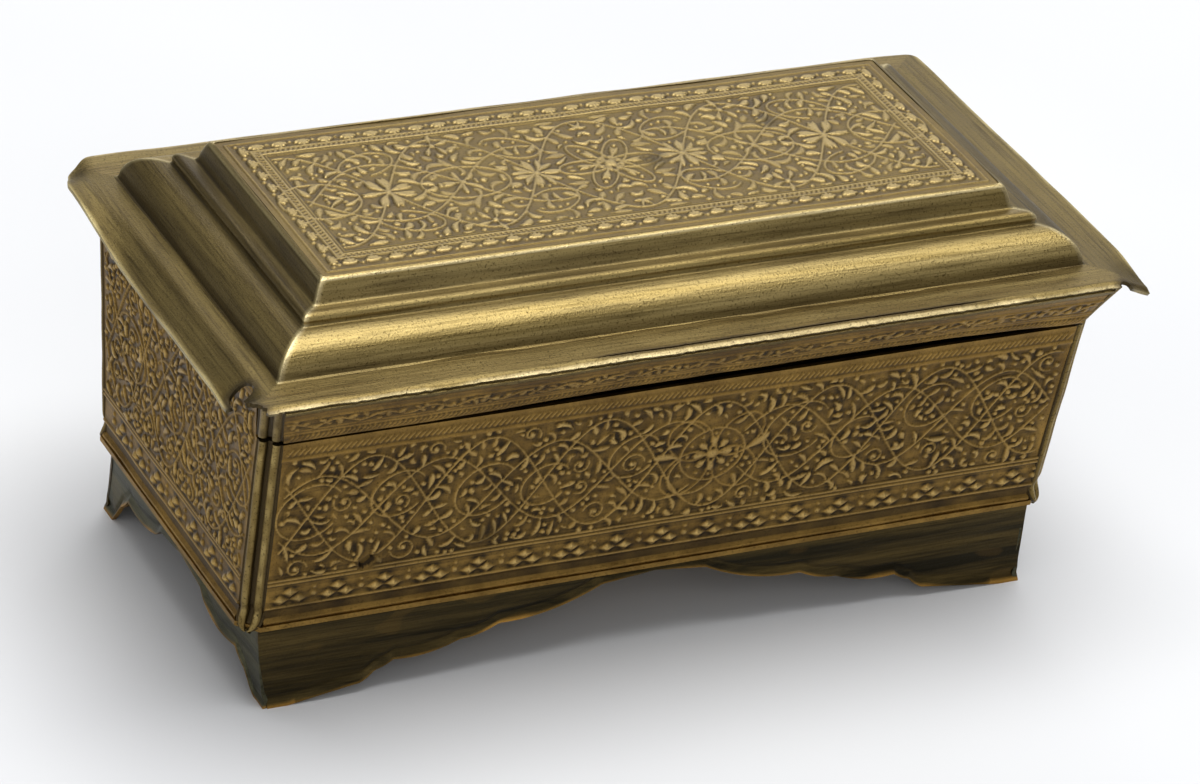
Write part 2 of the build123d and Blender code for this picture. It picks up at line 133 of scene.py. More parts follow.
class Relief:
    """Stamped pattern on a panel: heights in mm on a fine grid, v counted from the bottom edge."""

    def __init__(self, length, height, seed, copies=ONE, cell=CELL):
        self.length, self.tall, self.copies, self.cell = length, height, copies, cell
        self.columns, self.rows = round(length / cell), round(height / cell)
        self.u = np.linspace(-length / 2, length / 2, self.columns + 1)
        self.v = np.linspace(0, height, self.rows + 1)
        self.height = np.zeros((self.rows + 1, self.columns + 1))
        self.stain = np.zeros_like(self.height)
        self.taken = np.ones_like(self.height, dtype=bool)
        self.random = random.Random(seed)

    def window(self, u, v, reach):
        """Rows, columns and squared distances of the grid around a point."""
        across, up = self.length / self.columns, self.tall / self.rows
        first_column = max(int((u - reach + self.length / 2) / across), 0)
        last_column = max(int((u + reach + self.length / 2) / across) + 2, 0)
        first_row = max(int((v - reach) / up), 0)
        last_row = max(int((v + reach) / up) + 2, 0)
        rows, columns = slice(first_row, last_row), slice(first_column, last_column)
        return rows, columns, (self.v[rows, None] - v) ** 2 + (self.u[None, columns] - u) ** 2

    def open_field(self, left, right, low, high):
        """Free a rectangle for the greedy filling."""
        inside_u = (self.u > left) & (self.u < right)
        inside_v = (self.v > low) & (self.v < high)
        self.taken[np.ix_(inside_v, inside_u)] = False

    def dab(self, u, v, radius, height):
        rows, columns, square = self.window(u, v, radius + CLEAR)
        dome = np.clip(1 - square / (radius + 0.35 * self.cell) ** 2, 0, 1) ** 0.45
        patch = self.height[rows, columns]
        np.maximum(patch, height * dome, out=patch)
        self.taken[rows, columns] |= square < (radius + CLEAR) ** 2

    def mirrored(self, points):
        """Copies of a list of points over the panel's middle lines."""
        middle = self.tall / 2
        for sign_u, sign_v in self.copies:
            yield [(sign_u * u, middle + sign_v * (v - middle)) for u, v in points]

    def stroke(self, points, radius, height):
        """Raised line; radius is a number or a function of 0 to 1 along the line."""
        for copy in self.mirrored(points):
            path = np.array(copy)
            run = np.concatenate([[0], np.cumsum(np.hypot(*np.diff(path, axis=0).T))])
            share = np.linspace(0, 1, max(2, int(run[-1] / (0.7 * self.cell))))
            us = np.interp(share * run[-1], run, path[:, 0])
            vs = np.interp(share * run[-1], run, path[:, 1])
            for u, v, t in zip(us, vs, share):
                self.dab(u, v, radius(t) if callable(radius) else radius, height)

    def dot(self, u, v, radius, height):
        for (point,) in self.mirrored([(u, v)]):
            self.dab(*point, radius, height)

    def diamond(self, u, v, half, height):
        """Small pyramid on its corner."""
        rows, columns, _ = self.window(u, v, half)
        away = abs(self.u[None, columns] - u) / half + abs(self.v[rows, None] - v) / (0.7 * half)
        patch = self.height[rows, columns]
        np.maximum(patch, height * np.clip(1.15 - away, 0, 1), out=patch)

    def cut(self, points, radius, depth):
        """Groove along a line, cut into whatever is there."""
        path = np.array(points)
        run = np.concatenate([[0], np.cumsum(np.hypot(*np.diff(path, axis=0).T))])
        for at in np.arange(0, run[-1], 0.6 * self.cell):
            u, v = np.interp(at, run, path[:, 0]), np.interp(at, run, path[:, 1])
            width = radius(at / run[-1]) if callable(radius) else radius
            rows, columns, square = self.window(u, v, width)
            dome = np.clip(1 - square / width**2, 0, 1) ** 0.5
            self.height[rows, columns] = np.minimum(self.height[rows, columns], -depth * dome)
            self.stain[rows, columns] = np.maximum(self.stain[rows, columns], dome)

    def mark(self, u, v, radius, strength):
        """Dark stain."""
        rows, columns, square = self.window(u, v, radius)
        patch = self.stain[rows, columns]
        np.maximum(patch, strength * np.clip(1 - square / radius**2, 0, 1), out=patch)

    def free(self, points):
        columns = [round((u + self.length / 2) / self.length * self.columns) for u, _ in points]
        rows = [round(v / self.tall * self.rows) for _, v in points]
        return all(
            0 <= row <= self.rows and 0 <= column <= self.columns and not self.taken[row, column]
            for row, column in zip(rows, columns)
        )

    def hollow(self):
        """0 to 1: how deep each place lies below the pattern around it."""
        # The result darkens the ground beside raised strokes as painted shade, and also carries the real stains and cut
        # marks.
        reach = 4
        padded = np.pad(np.maximum(self.height, 0), reach, mode="edge")
        mean = np.zeros_like(self.height)
        for row in range(0, 2 * reach + 1, 2):
            for column in range(0, 2 * reach + 1, 2):
                mean += padded[row : row + self.rows + 1, column : column + self.columns + 1]
        mean /= (reach + 1) ** 2
        return np.clip(np.maximum((mean - self.height) / HOLLOW_DEPTH, self.stain), 0, 1)


def leaf_path(u, v, heading, length, bend, steps=8):
    """Middle line of a comma leaf that curls more and more towards its tip."""
    points = [(u, v)]
    for step in range(steps):
        angle = heading + bend * ((step + 0.5) / steps) ** 1.5
        u, v = u + math.cos(angle) * length / steps, v + math.sin(angle) * length / steps
        points.append((u, v))
    return points


def leaf_width(thick):
    """Radius along a comma leaf: thin stem, full belly, pointed tip."""
    return lambda t: 0.04 + thick * math.sin(math.pi * t**1.5) ** 1.1


def wave(start, end, middle, rise, half_period, phase=0.0):
    """Sine vine along the panel."""
    us = np.linspace(start, end, max(8, int((end - start) / 0.4)))
    return [(u, middle + rise * math.cos(math.pi * u / half_period + phase)) for u in us]


def oval(u, v, long, short, turn, share=1.0, steps=40):
    """Closed or part oval, turned by an angle."""
    points = []
    for step in range(steps + 1):
        angle = 2 * math.pi * share * step / steps
        a, b = long * math.cos(angle), short * math.sin(angle)
        points.append(
            (u + a * math.cos(turn) - b * math.sin(turn), v + a * math.sin(turn) + b * math.cos(turn))
        )
    return points


def spiral(u, v, radius, start, turns, steps=26):
    """Tendril that winds in to its middle."""
    points = []
    for step in range(steps + 1):
        t = step / steps
        angle, r = start + turns * 2 * math.pi * t, radius * (1 - 0.8 * t)
        points.append((u + r * math.cos(angle), v + r * math.sin(angle)))
    return points


def star(panel, u, v, count, length, thick, height, turn=0.0):
    """Leaves that fan out from a crossing of two vines."""
    for number in range(count):
        heading = turn + 2 * math.pi * number / count
        start = (u + 0.35 * math.cos(heading), v + 0.35 * math.sin(heading))
        path = leaf_path(*start, heading, length, 0.5 if number % 2 else -0.5)
        panel.stroke(path, leaf_width(thick), height)
    panel.dot(u, v, 0.26, height * 1.1)


def leaves_on_vine(panel, vine, spacing, length, thick, height):
    """Comma leaves that leave a vine on alternate sides wherever there is room."""
    path = np.array(vine)
    run = np.concatenate([[0], np.cumsum(np.hypot(*np.diff(path, axis=0).T))])
    side = 1
    for at in np.arange(0.4, run[-1], spacing):
        here = [np.interp(at, run, path[:, axis]) for axis in (0, 1)]
        ahead = [np.interp(at + 0.2, run, path[:, axis]) for axis in (0, 1)]
        tangent = math.atan2(ahead[1] - here[1], ahead[0] - here[0])
        for turn in (side, -side):
            heading = tangent + turn * panel.random.uniform(0.35, 1.45)
            size = length * panel.random.uniform(0.6, 1.35)
            points = leaf_path(*here, heading, size, turn * panel.random.uniform(0.3, 2.2))
            if panel.free(points[4:]):
                belly = thick * panel.random.uniform(0.7, 1.35)
                panel.stroke(points, leaf_width(belly), height * panel.random.uniform(0.75, 1.2))
        side = -side


def fill(panel, box, tries, lengths, thick, height, dots):
    """Comma leaves and dots in whatever room is left."""
    left, right, low, high = box
    for _ in range(tries):
        u, v = panel.random.uniform(left, right), panel.random.uniform(low, high)
        heading = panel.random.uniform(0, 2 * math.pi)
        bend = panel.random.choice((-1, 1)) * panel.random.uniform(0.2, 2.6)
        points = leaf_path(u, v, heading, panel.random.uniform(*lengths), bend)
        if panel.free(points):
            belly = thick * panel.random.uniform(0.6, 1.5)
            panel.stroke(points, leaf_width(belly), height * panel.random.uniform(0.7, 1.2))
    for _ in range(dots):
        u, v = panel.random.uniform(left, right), panel.random.uniform(low, high)
        if panel.free([(u, v)]):
            panel.dot(u, v, panel.random.uniform(0.14, 0.22), height)


def frame_line(panel, inset, radius, height):
    """Raised rectangle at an inset from the panel's edge."""
    half, low, high = panel.length / 2 - inset, inset, panel.tall - inset
    corners = [(-half, low), (half, low), (half, high), (-half, high), (-half, low)]
    panel.stroke(corners, radius, height)


def rope(panel, low, high, pitch, radius, height):
    """Row of slanting ticks along the panel."""
    for u in np.arange(-panel.length / 2 + pitch, panel.length / 2 - pitch, pitch):
        panel.stroke([(u, low), (u + 0.8 * pitch, high)], radius, height)


def shell_leaf(panel, u, v, heading, height):
    """Half-round leaf of the border, its round side towards heading."""
    for offset in (-1.35, -0.65, 0.0, 0.65, 1.35):
        points = leaf_path(u, v, heading + offset, 0.6, -offset * 0.4, steps=4)
        panel.stroke(points, lambda t: 0.04 + 0.09 * t, height)


LID_BORDER = 3.3  # lid panel's edge to the field
LID_PITCH = 1.9  # border leaves
LEAF_HIGH = 0.11  # leaves above the lid's ground
VINE_HIGH = 0.09
ARRIS = 0.35


def lid_relief():
    """Rosette, crossing vines and leaves in a leafed and ticked border."""
    panel = Relief(2 * (PANEL_X - ARRIS), 2 * (PANEL_Y - ARRIS), 5, QUARTERS)
    half, middle = panel.length / 2, panel.tall / 2
    for inset, radius, height in ((0.6, 0.06, 0.08), (2.1, 0.07, 0.11), (2.7, 0.07, 0.11), (3.0, 0.06, 0.09)):
        frame_line(panel, inset, radius, height)
    for u in np.arange(LID_PITCH / 2, half - 1.6, LID_PITCH):
        shell_leaf(panel, u, 1.25, math.pi / 2, 0.15)
        panel.dot(u + LID_PITCH / 2, 1.3, 0.17, 0.1)
    for v in np.arange(middle + LID_PITCH / 2, panel.tall - 1.6, LID_PITCH):
        shell_leaf(panel, half - 1.25, v, math.pi, 0.15)
        panel.dot(half - 1.3, v + LID_PITCH / 2, 0.17, 0.1)
    for u in np.arange(0, half - 2.2, 0.42):
        panel.stroke([(u, 2.3), (u + 0.2, 2.65)], 0.1, 0.08)
    for v in np.arange(middle, panel.tall - 2.2, 0.42):
        panel.stroke([(half - 2.65, v), (half - 2.3, v + 0.2)], 0.1, 0.08)
    reach, rise = half - LID_BORDER, middle - LID_BORDER - 0.3
    panel.open_field(-reach, reach, LID_BORDER, panel.tall - LID_BORDER)
    for number in range(6):
        turn = math.pi * number / 3
        at = (2.15 * math.cos(turn), middle + 1.75 * math.sin(turn))
        panel.stroke(oval(*at, 2.1, 0.95, turn), 0.1, VINE_HIGH)
        panel.stroke(leaf_path(at[0] / 2, (at[1] + middle) / 2, turn, 1.6, 0.4), leaf_width(0.2), LEAF_HIGH)
    panel.dot(0, middle, 0.5, 0.16)
    for number in range(8):
        turn = math.pi * (number + 0.5) / 4
        panel.dot(0.95 * math.cos(turn), middle + 0.95 * math.sin(turn), 0.2, LEAF_HIGH)
    period = 12.4
    vines = [
        wave(0, reach, middle, rise, period),
        wave(4.5, reach, middle, rise * 0.62, period, math.pi / 2),
        oval(period * 0.98, middle, 3.6, 2.3, 0),
        oval(2 * period - 0.6, middle, 3.2, 2.6, 0, 1.0),
        oval(6.6, middle + 4.2, 2.3, 1.5, 0.5, 0.8),
        oval(18.6, middle + 4.4, 2.5, 1.5, -0.4, 0.8),
    ]
    for vine in vines:
        panel.stroke(vine, 0.1, VINE_HIGH)
    star(panel, period / 2, middle, 7, 1.7, 0.22, LEAF_HIGH, 0.3)
    star(panel, 1.5 * period, middle, 7, 1.8, 0.22, LEAF_HIGH, 0.1)
    star(panel, period, middle, 5, 1.3, 0.2, LEAF_HIGH)
    star(panel, period, middle + rise - 1.0, 5, 1.3, 0.2, LEAF_HIGH, 0.4)
    for vine in vines:
        leaves_on_vine(panel, vine, 1.1, 1.6, 0.22, LEAF_HIGH)
    field = (0, reach, middle, panel.tall - LID_BORDER)
    fill(panel, field, 6000, (1.0, 1.9), 0.21, LEAF_HIGH, 200)
    fill(panel, field, 5000, (0.5, 1.0), 0.16, LEAF_HIGH, 100)
    panel.mark(3.6, middle - 0.4, 1.5, 1.0)
    panel.mark(15.2, middle + 3.2, 1.2, 0.9)
    panel.mark(-9.5, middle + 5.2, 0.8, 0.4)
    return panel


WALL_BAND = 1.55  # plain groove and bead along the bottom of a wall
DIAMOND_TOP = 3.75
DIAMOND_PITCH = 3.9
ROPE_DROP = 1.5  # rope strip along the top of a wall


def wall_border(panel, top):
    """Lines, groups of three diamonds and a rope strip shared by the walls."""
    half = panel.length / 2
    for v in (WALL_BAND, DIAMOND_TOP, DIAMOND_TOP + 0.35):
        panel.stroke([(-half, v), (half, v)], 0.1, 0.13)
    for u in np.arange(-half + DIAMOND_PITCH / 2, half - 1, DIAMOND_PITCH):
        for side, v in ((-0.75, 2.2), (0.75, 2.2), (0, 2.85)):
            panel.diamond(u + side, v, 0.66, 0.32)
        panel.dot(u + DIAMOND_PITCH / 2, 2.45, 0.24, 0.18)
        panel.dot(u + DIAMOND_PITCH / 2, 3.1, 0.15, 0.14)
    # The groove band above the bottom bead is darkened through the stain map.
    for column, u in enumerate(panel.u):
        darkened = (panel.v > 0.5) & (panel.v < WALL_BAND - 0.25 + 0.1 * noise.noise(Vector((u, 0, 6))))
        panel.stain[darkened, column] = 0.75 + 0.25 * noise.noise(Vector((u / 2, 0, 8)))
    rope(panel, top - ROPE_DROP + 0.45, top - 0.6, 0.46, 0.08, 0.11)
    panel.stroke([(-half, top - ROPE_DROP), (half, top - ROPE_DROP)], 0.1, 0.08)


def wall_vines(panel, low, high, seed_turn, medallion):
    """Finer arabesque of the walls: crossing arcs, loops, spirals, dots and leaves."""
    half, middle = panel.length / 2 - 0.6, (low + high) / 2
    rise = (high - low) / 2 - 0.5
    panel.open_field(-half, half, low, high)
    if medallion is not None:
        panel.dot(medallion, middle, 0.42, 0.2)
        for number in range(8):
            turn = math.pi * number / 4
            start = (medallion + 0.75 * math.cos(turn), middle + 0.7 * math.sin(turn))
            panel.stroke(leaf_path(*start, turn, 0.85, 0.2), leaf_width(0.24), 0.18)
        for number in range(12):
            turn = math.pi * number / 6
            panel.dot(medallion + 2.15 * math.cos(turn), middle + 1.95 * math.sin(turn), 0.15, 0.13)
        panel.stroke(oval(medallion, middle, 2.75, 2.45, 0), 0.09, 0.12)
        for number in range(4):
            turn = math.pi * (number + 0.5) / 2
            at = (medallion + 3.0 * math.cos(turn), middle + 2.2 * math.sin(turn))
            panel.stroke(oval(*at, 2.2, 1.7, turn), 0.08, 0.1)
        for side in (-1, 1):
            panel.stroke(leaf_path(medallion + side * 2.9, middle, math.pi / 2 - side * 1.2, 2.2, 0.6), leaf_width(0.3), 0.17)
    vines = []
    for phase, part in ((seed_turn, 1.0), (seed_turn + math.pi, 1.0), (seed_turn + 1.3, 0.75), (seed_turn + 4.4, 0.75)):
        vines.append(wave(-half, half, middle, rise * part, 9.6, phase))
    for step in np.arange(-half + 3, half - 2, 6.4):
        shift = panel.random.uniform(-1.2, 1.2)
        radius = panel.random.uniform(2.1, 3.1)
        vines.append(oval(step + shift, middle + panel.random.uniform(-1.6, 1.6), radius, radius * 0.85, 0.6, 0.8))
    for vine in vines:
        clear = [p for p in vine if medallion is None or math.hypot((p[0] - medallion) / 1.1, p[1] - middle) > 2.6]
        for part in split_runs(clear, 1.2):
            panel.stroke(part, 0.07, 0.15)
    for _ in range(320):
        u, v = panel.random.uniform(-half, half), panel.random.uniform(low, high)
        radius, start = panel.random.uniform(0.7, 1.15), panel.random.uniform(0, 6.28)
        ring = spiral(u, v, radius, start, panel.random.choice((-1.1, 1.1)))
        if panel.free(ring):
            panel.stroke(ring, 0.07, 0.15)
            panel.dot(u, v, 0.2, 0.22)
    for vine in vines[:4]:
        leaves_on_vine(panel, vine, 1.25, 1.3, 0.14, 0.18)
    fill(panel, (-half, half, low, high), 4200, (0.8, 1.9), 0.15, 0.2, 700)
    fill(panel, (-half, half, low, high), 5000, (0.4, 0.8), 0.13, 0.18, 900)


def split_runs(points, gap):
    """Points cut into runs wherever two neighbours are further apart than a gap."""
    runs = [[points[0]]]
    for before, point in zip(points, points[1:]):
        if math.dist(before, point) > gap:
            runs.append([])
        runs[-1].append(point)
    return [run for run in runs if len(run) > 1]


def wall_profile(v, tall):
    """Plain section of a wall: bright bead at the bottom, groove above it, hollow face."""
    bead = 0.16 * math.sqrt(max(0.0, 1 - ((v - 0.2) / 0.24) ** 2))
    groove = -0.12 * smooth((v - 0.35) / 0.15) * smooth((WALL_BAND - 0.15 - v) / 0.25)
    hollow = -0.12 * math.sin(math.pi * min(max(v / tall, 0), 1))
    return bead + groove + hollow


LIP_TURN = 0.16  # height of the worn, ragged edge where the rim is folded over the lip
LIP_BOW = 0.45  # how far the lip's lower edge bows up from the body


def lip_relief():
    """Wavy leaf strip over a rope strip, with the crack under the rim's fold."""
    tall = math.hypot(LIP_HIGH.z - LIP_LOW.z, LIP_HIGH.y - LIP_LOW.y)
    panel = Relief(LIP_HIGH.x - LIP_LOW.x, tall, 11)
    half = panel.length / 2
    rope(panel, 0.3, 0.8, 0.42, 0.09, 0.1)
    for v in (0.12, 1.05, 1.4, 3.2):
        panel.stroke([(-half, v), (half, v)], 0.09, 0.08)
    panel.stroke(wave(-half + 0.3, half - 0.3, 2.3, 0.42, 1.9), 0.11, 0.11)
    panel.open_field(-half + 0.3, half - 0.3, 1.55, 3.25)
    leaves_on_vine(panel, wave(-half + 0.3, half - 0.3, 2.3, 0.42, 1.9), 0.95, 0.85, 0.18, 0.14)
    fill(panel, (-half, half, 1.6, 3.1), 500, (0.4, 0.7), 0.14, 0.12, 120)
    for column, u in enumerate(panel.u):
        ragged = noise.noise(Vector((u / 0.45, 0, 1))) + 0.6 * noise.noise(Vector((u / 3, 0, 4)))
        turned = panel.v > tall - 0.42 - 0.16 * ragged
        panel.height[turned, column] = LIP_TURN
    return panel


# Pieces ---------------------------------------------------------------------------------


def finish_piece(bm, name, body, materials, replaced):
    """Turn a mesh in mm into a piece in metres that rides on its body."""
    bmesh.ops.scale(bm, vec=(MM, MM, MM), verts=bm.verts)
    mesh = bpy.data.meshes.new(name)
    bm.to_mesh(mesh)
    bm.free()
    piece = bpy.data.objects.new(name, mesh)
    bpy.context.scene.collection.objects.link(piece)
    for material in materials:
        mesh.materials.append(material)
    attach(piece, body)
    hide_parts(*replaced)
    return piece


def shade(bm, sharp_degrees=35):
    """Smooth faces, with edges kept sharp where they turn by more than an angle."""
    for face in bm.faces:
        face.smooth = True
    for edge in bm.edges:
        if len(edge.link_faces) == 2 and edge.calc_face_angle() > math.radians(sharp_degrees):
            edge.smooth = False


def stamped_sheet(panel, place, back):
    """Closed sheet with the panel's relief outside and a plain back.

    place gives a point for (u, v, height); back gives the sheet's inner point under it.
    """
    bm = bmesh.new()
    bmesh.ops.create_grid(bm, x_segments=panel.columns, y_segments=panel.rows, size=0.5)
    relief = bm.verts.layers.float.new("relief")
    # The hollow attribute carries painted shade beside the pattern, together with real stains, into the material.
    hollow = bm.verts.layers.float.new("hollow")
    hollows = panel.hollow()
    where = {}
    for vert in bm.verts:
        column = round((vert.co.x + 0.5) * panel.columns)
        row = round((vert.co.y + 0.5) * panel.rows)
        u, v, height = panel.u[column], panel.v[row], panel.height[row, column]
        vert[relief] = height
        vert[hollow] = hollows[row, column]
        vert.co = place(u, v, height)
        where[vert] = (u, v)
    rim = [edge for edge in bm.edges if edge.is_boundary]
    rim_verts = {vert.co.copy().freeze(): where[vert] for edge in rim for vert in edge.verts}
    made = bmesh.ops.extrude_edge_only(bm, edges=rim)["geom"]
    for vert in (g for g in made if isinstance(g, bmesh.types.BMVert)):
        vert.co = back(*rim_verts[vert.co.copy().freeze()])
        # The sheet's back edge is darkened through the hollow attribute.
        vert[hollow] = 0.6
    loop = [g for g in made if isinstance(g, bmesh.types.BMEdge)]
    bmesh.ops.edgeloop_fill(bm, edges=loop)
    for face in bm.faces:
        face.smooth = True
    for edge in rim + loop:
        edge.smooth = False
    bmesh.ops.recalc_face_normals(bm, faces=bm.faces)
    return bm


def dent(x, y, z, size, depth):
    """Slow unevenness of hand-worked sheet, in mm."""
    return depth * noise.noise(Vector((x, y, z)) / size)


def lid_panel(material):
    panel = lid_relief()

    def place(u, v, height):
        y = v - panel.tall / 2
        return Vector((u, y, LID_TOP - 0.26 + height + dent(u, y, 0, 9, 0.12)))

    def back(u, v):
        return Vector((u, v - panel.tall / 2, LID_TOP - 2 * LID_SHEET))

    bm = stamped_sheet(panel, place, back)
    finish_piece(bm, "lid_panel", "lid", [material], ["lid_cover"])


def arc(centre, radii, start, end, steps):
    """Points (outset, height) along an elliptical arc, angles in degrees."""
    for step in range(steps + 1):
        angle = math.radians(start + (end - start) * step / steps)
        yield centre[0] + radii[0] * math.cos(angle), centre[1] + radii[1] * math.sin(angle)


# Dark bands in the mouldings' grooves and at their foot, dirt and painted shade: (height above the rim, spread,
# strength)
MOULDING_SHADE_AND_DIRT = ((0.0, 0.8, 0.8), (2.5, 0.13, 0.9), (3.4, 0.18, 1.0), (4.05, 0.55, 0.8))
ARRIS_HEIGHT = 4.95


def moulding_stations():
    """Section of the lid's mouldings, (outset from the panel, height above the rim)."""
    stations = [(MOULDING_RUN + 0.3, -0.02), (MOULDING_RUN + 0.08, 0.06)]
    stations += arc((2.5, 0.12), (2.5, 2.3), 4, 88, 12)
    stations += arc((2.2, 2.62), (0.2, 0.2), -80, -150, 3)
    stations += arc((1.55, 2.92), (0.5, 0.42), -25, 95, 8)
    stations += [(1.1, 3.3), (0.78, 3.28)]
    stations += arc((0.78, 3.78), (0.3, 0.5), -100, -170, 4)
    stations += [(0.4, 4.0), (0.24, 4.5), (0.1, 4.85)]
    stations += arc((-ARRIS + 0.05, 4.86), (ARRIS, 0.22), 15, 90, 5)
    return stations


def lid_mouldings(along_x, along_y):
    """Mitred ring of ovolo, bead, ledge and upright face, drawn as one run of sheet."""
    bm = bmesh.new()
    bmesh.ops.create_grid(bm, x_segments=1, y_segments=1, size=1)
    bmesh.ops.delete(bm, geom=bm.faces[:], context="FACES_ONLY")
    loop, first = bm.edges[:], True
    for outset, height in moulding_stations():
        if not first:
            made = bmesh.ops.extrude_edge_only(bm, edges=loop)["geom"]
            loop = [g for g in made if isinstance(g, bmesh.types.BMEdge)]
        first = False
        for vert in {vert for edge in loop for vert in edge.verts}:
            x, y = PANEL_X + outset, PANEL_Y + outset
            vert.co = (math.copysign(x, vert.co.x), math.copysign(y, vert.co.y), RIM_TOP + height)
    mitres = [e for e in bm.edges if e.verts[0].co.x * e.verts[1].co.x > 0 and e.verts[0].co.y * e.verts[1].co.y > 0]
    bmesh.ops.bevel(bm, geom=mitres, offset=0.14, segments=2, profile=0.5, affect="EDGES", material=-1)
    for axis, cuts in ((0, 110), (1, 56)):
        runs = [e for e in bm.edges if abs(e.verts[0].co[axis] - e.verts[1].co[axis]) > 15]
        bmesh.ops.subdivide_edges(bm, edges=runs, cuts=cuts, use_grid_fill=True)
    bmesh.ops.recalc_face_normals(bm, faces=bm.faces)
    if sum(face.normal.z * face.calc_area() for face in bm.faces) < 0:
        bmesh.ops.reverse_faces(bm, faces=bm.faces)
    wear_and_highlight = bm.verts.layers.float.new("wear_and_highlight")
    hollow = bm.verts.layers.float.new("hollow")
    bm.normal_update()
    for vert in bm.verts:
        out_x, out_y = abs(vert.co.x) - PANEL_X, abs(vert.co.y) - PANEL_Y
        height = vert.co.z - RIM_TOP
        patch = 0.75 + 0.6 * noise.noise(Vector(vert.co) / 9)
        # Darkened bands in the grooves and at the foot: dirt and painted shade.
        vert[hollow] = patch * max(s * math.exp(-(((height - h) / w) ** 2)) for h, w, s in MOULDING_SHADE_AND_DIRT)
        # Painted highlight along the top arris; the mitres get real wear.
        arris = math.exp(-(((height - ARRIS_HEIGHT) / 0.12) ** 2))
        vert[wear_and_highlight] = max(smooth(1 - abs(out_x - out_y) / 0.45), 0.8 * arris)
        vert.co += vert.normal * dent(*vert.co, 8, 0.07)
    for face in bm.faces:
        centre = face.calc_center_median()
        face.material_index = int(abs(centre.x) - PANEL_X > abs(centre.y) - PANEL_Y)
    bmesh.ops.solidify(bm, geom=bm.faces[:], thickness=LID_SHEET * 0.8)
    shade(bm, 40)
    finish_piece(bm, "lid_mouldings", "lid", [along_x, along_y], ["lid_cover"])


RIM_CELL = 0.25
RIM_FOLD = 0.5  # width of the sloping front fold
FOLD_DROP = 0.26
CRACK_ROW = 2  # grid rows in from the front edge
RIM_FIT = 0.998  # keeps bent corners inside the lid's outline
# Bites out of the rim by its front corners: (x, y inwards from the front edge, radius)
BITES = ((-LID_X + 1.35, 4.0, 0.85), (-LID_X + 0.45, 2.7, 0.9), (-LID_X, 0.0, 1.9), (LID_X - 2.2, 0.0, 0.55))


def back_left_curl(x, y):
    """0 to 1 towards the corner that was bent in and down."""
    return smooth((-x - 34.8) / 3.2) * smooth((y - 15.5) / 4)


def rim_height(x, y):
    """Top of the rim: rounded front fold, bowed flanges, bent corners."""
    z = RIM_TOP - FOLD_DROP * max(0.0, 1 - (LID_Y + y) / RIM_FOLD) ** 1.2
    outer = smooth((abs(x) - LID_X + END_RIM - 0.6) / (END_RIM - 0.6))
    z -= outer * (0.1 + 0.15 * noise.noise(Vector((x / 30, y / 9, 3))))
    right_front = smooth((x - 35.4) / 3.4) * smooth((-y - 14) / 5.6)
    left_front = 0.4 * smooth((-y - 12.5) / 4.5) * smooth((-x - 35.6) / 2.4)
    left_bow = 1.2 * smooth((16 - y) / 14) * smooth((-x - 35.4) / 2.6)
    z -= 0.95 * right_front + (left_front + left_bow) * smooth((LID_Y - 1.6 + y) / 1.2)
    z -= 0.65 * back_left_curl(x, y)
    return z + dent(x, y, 5, 5, 0.07)


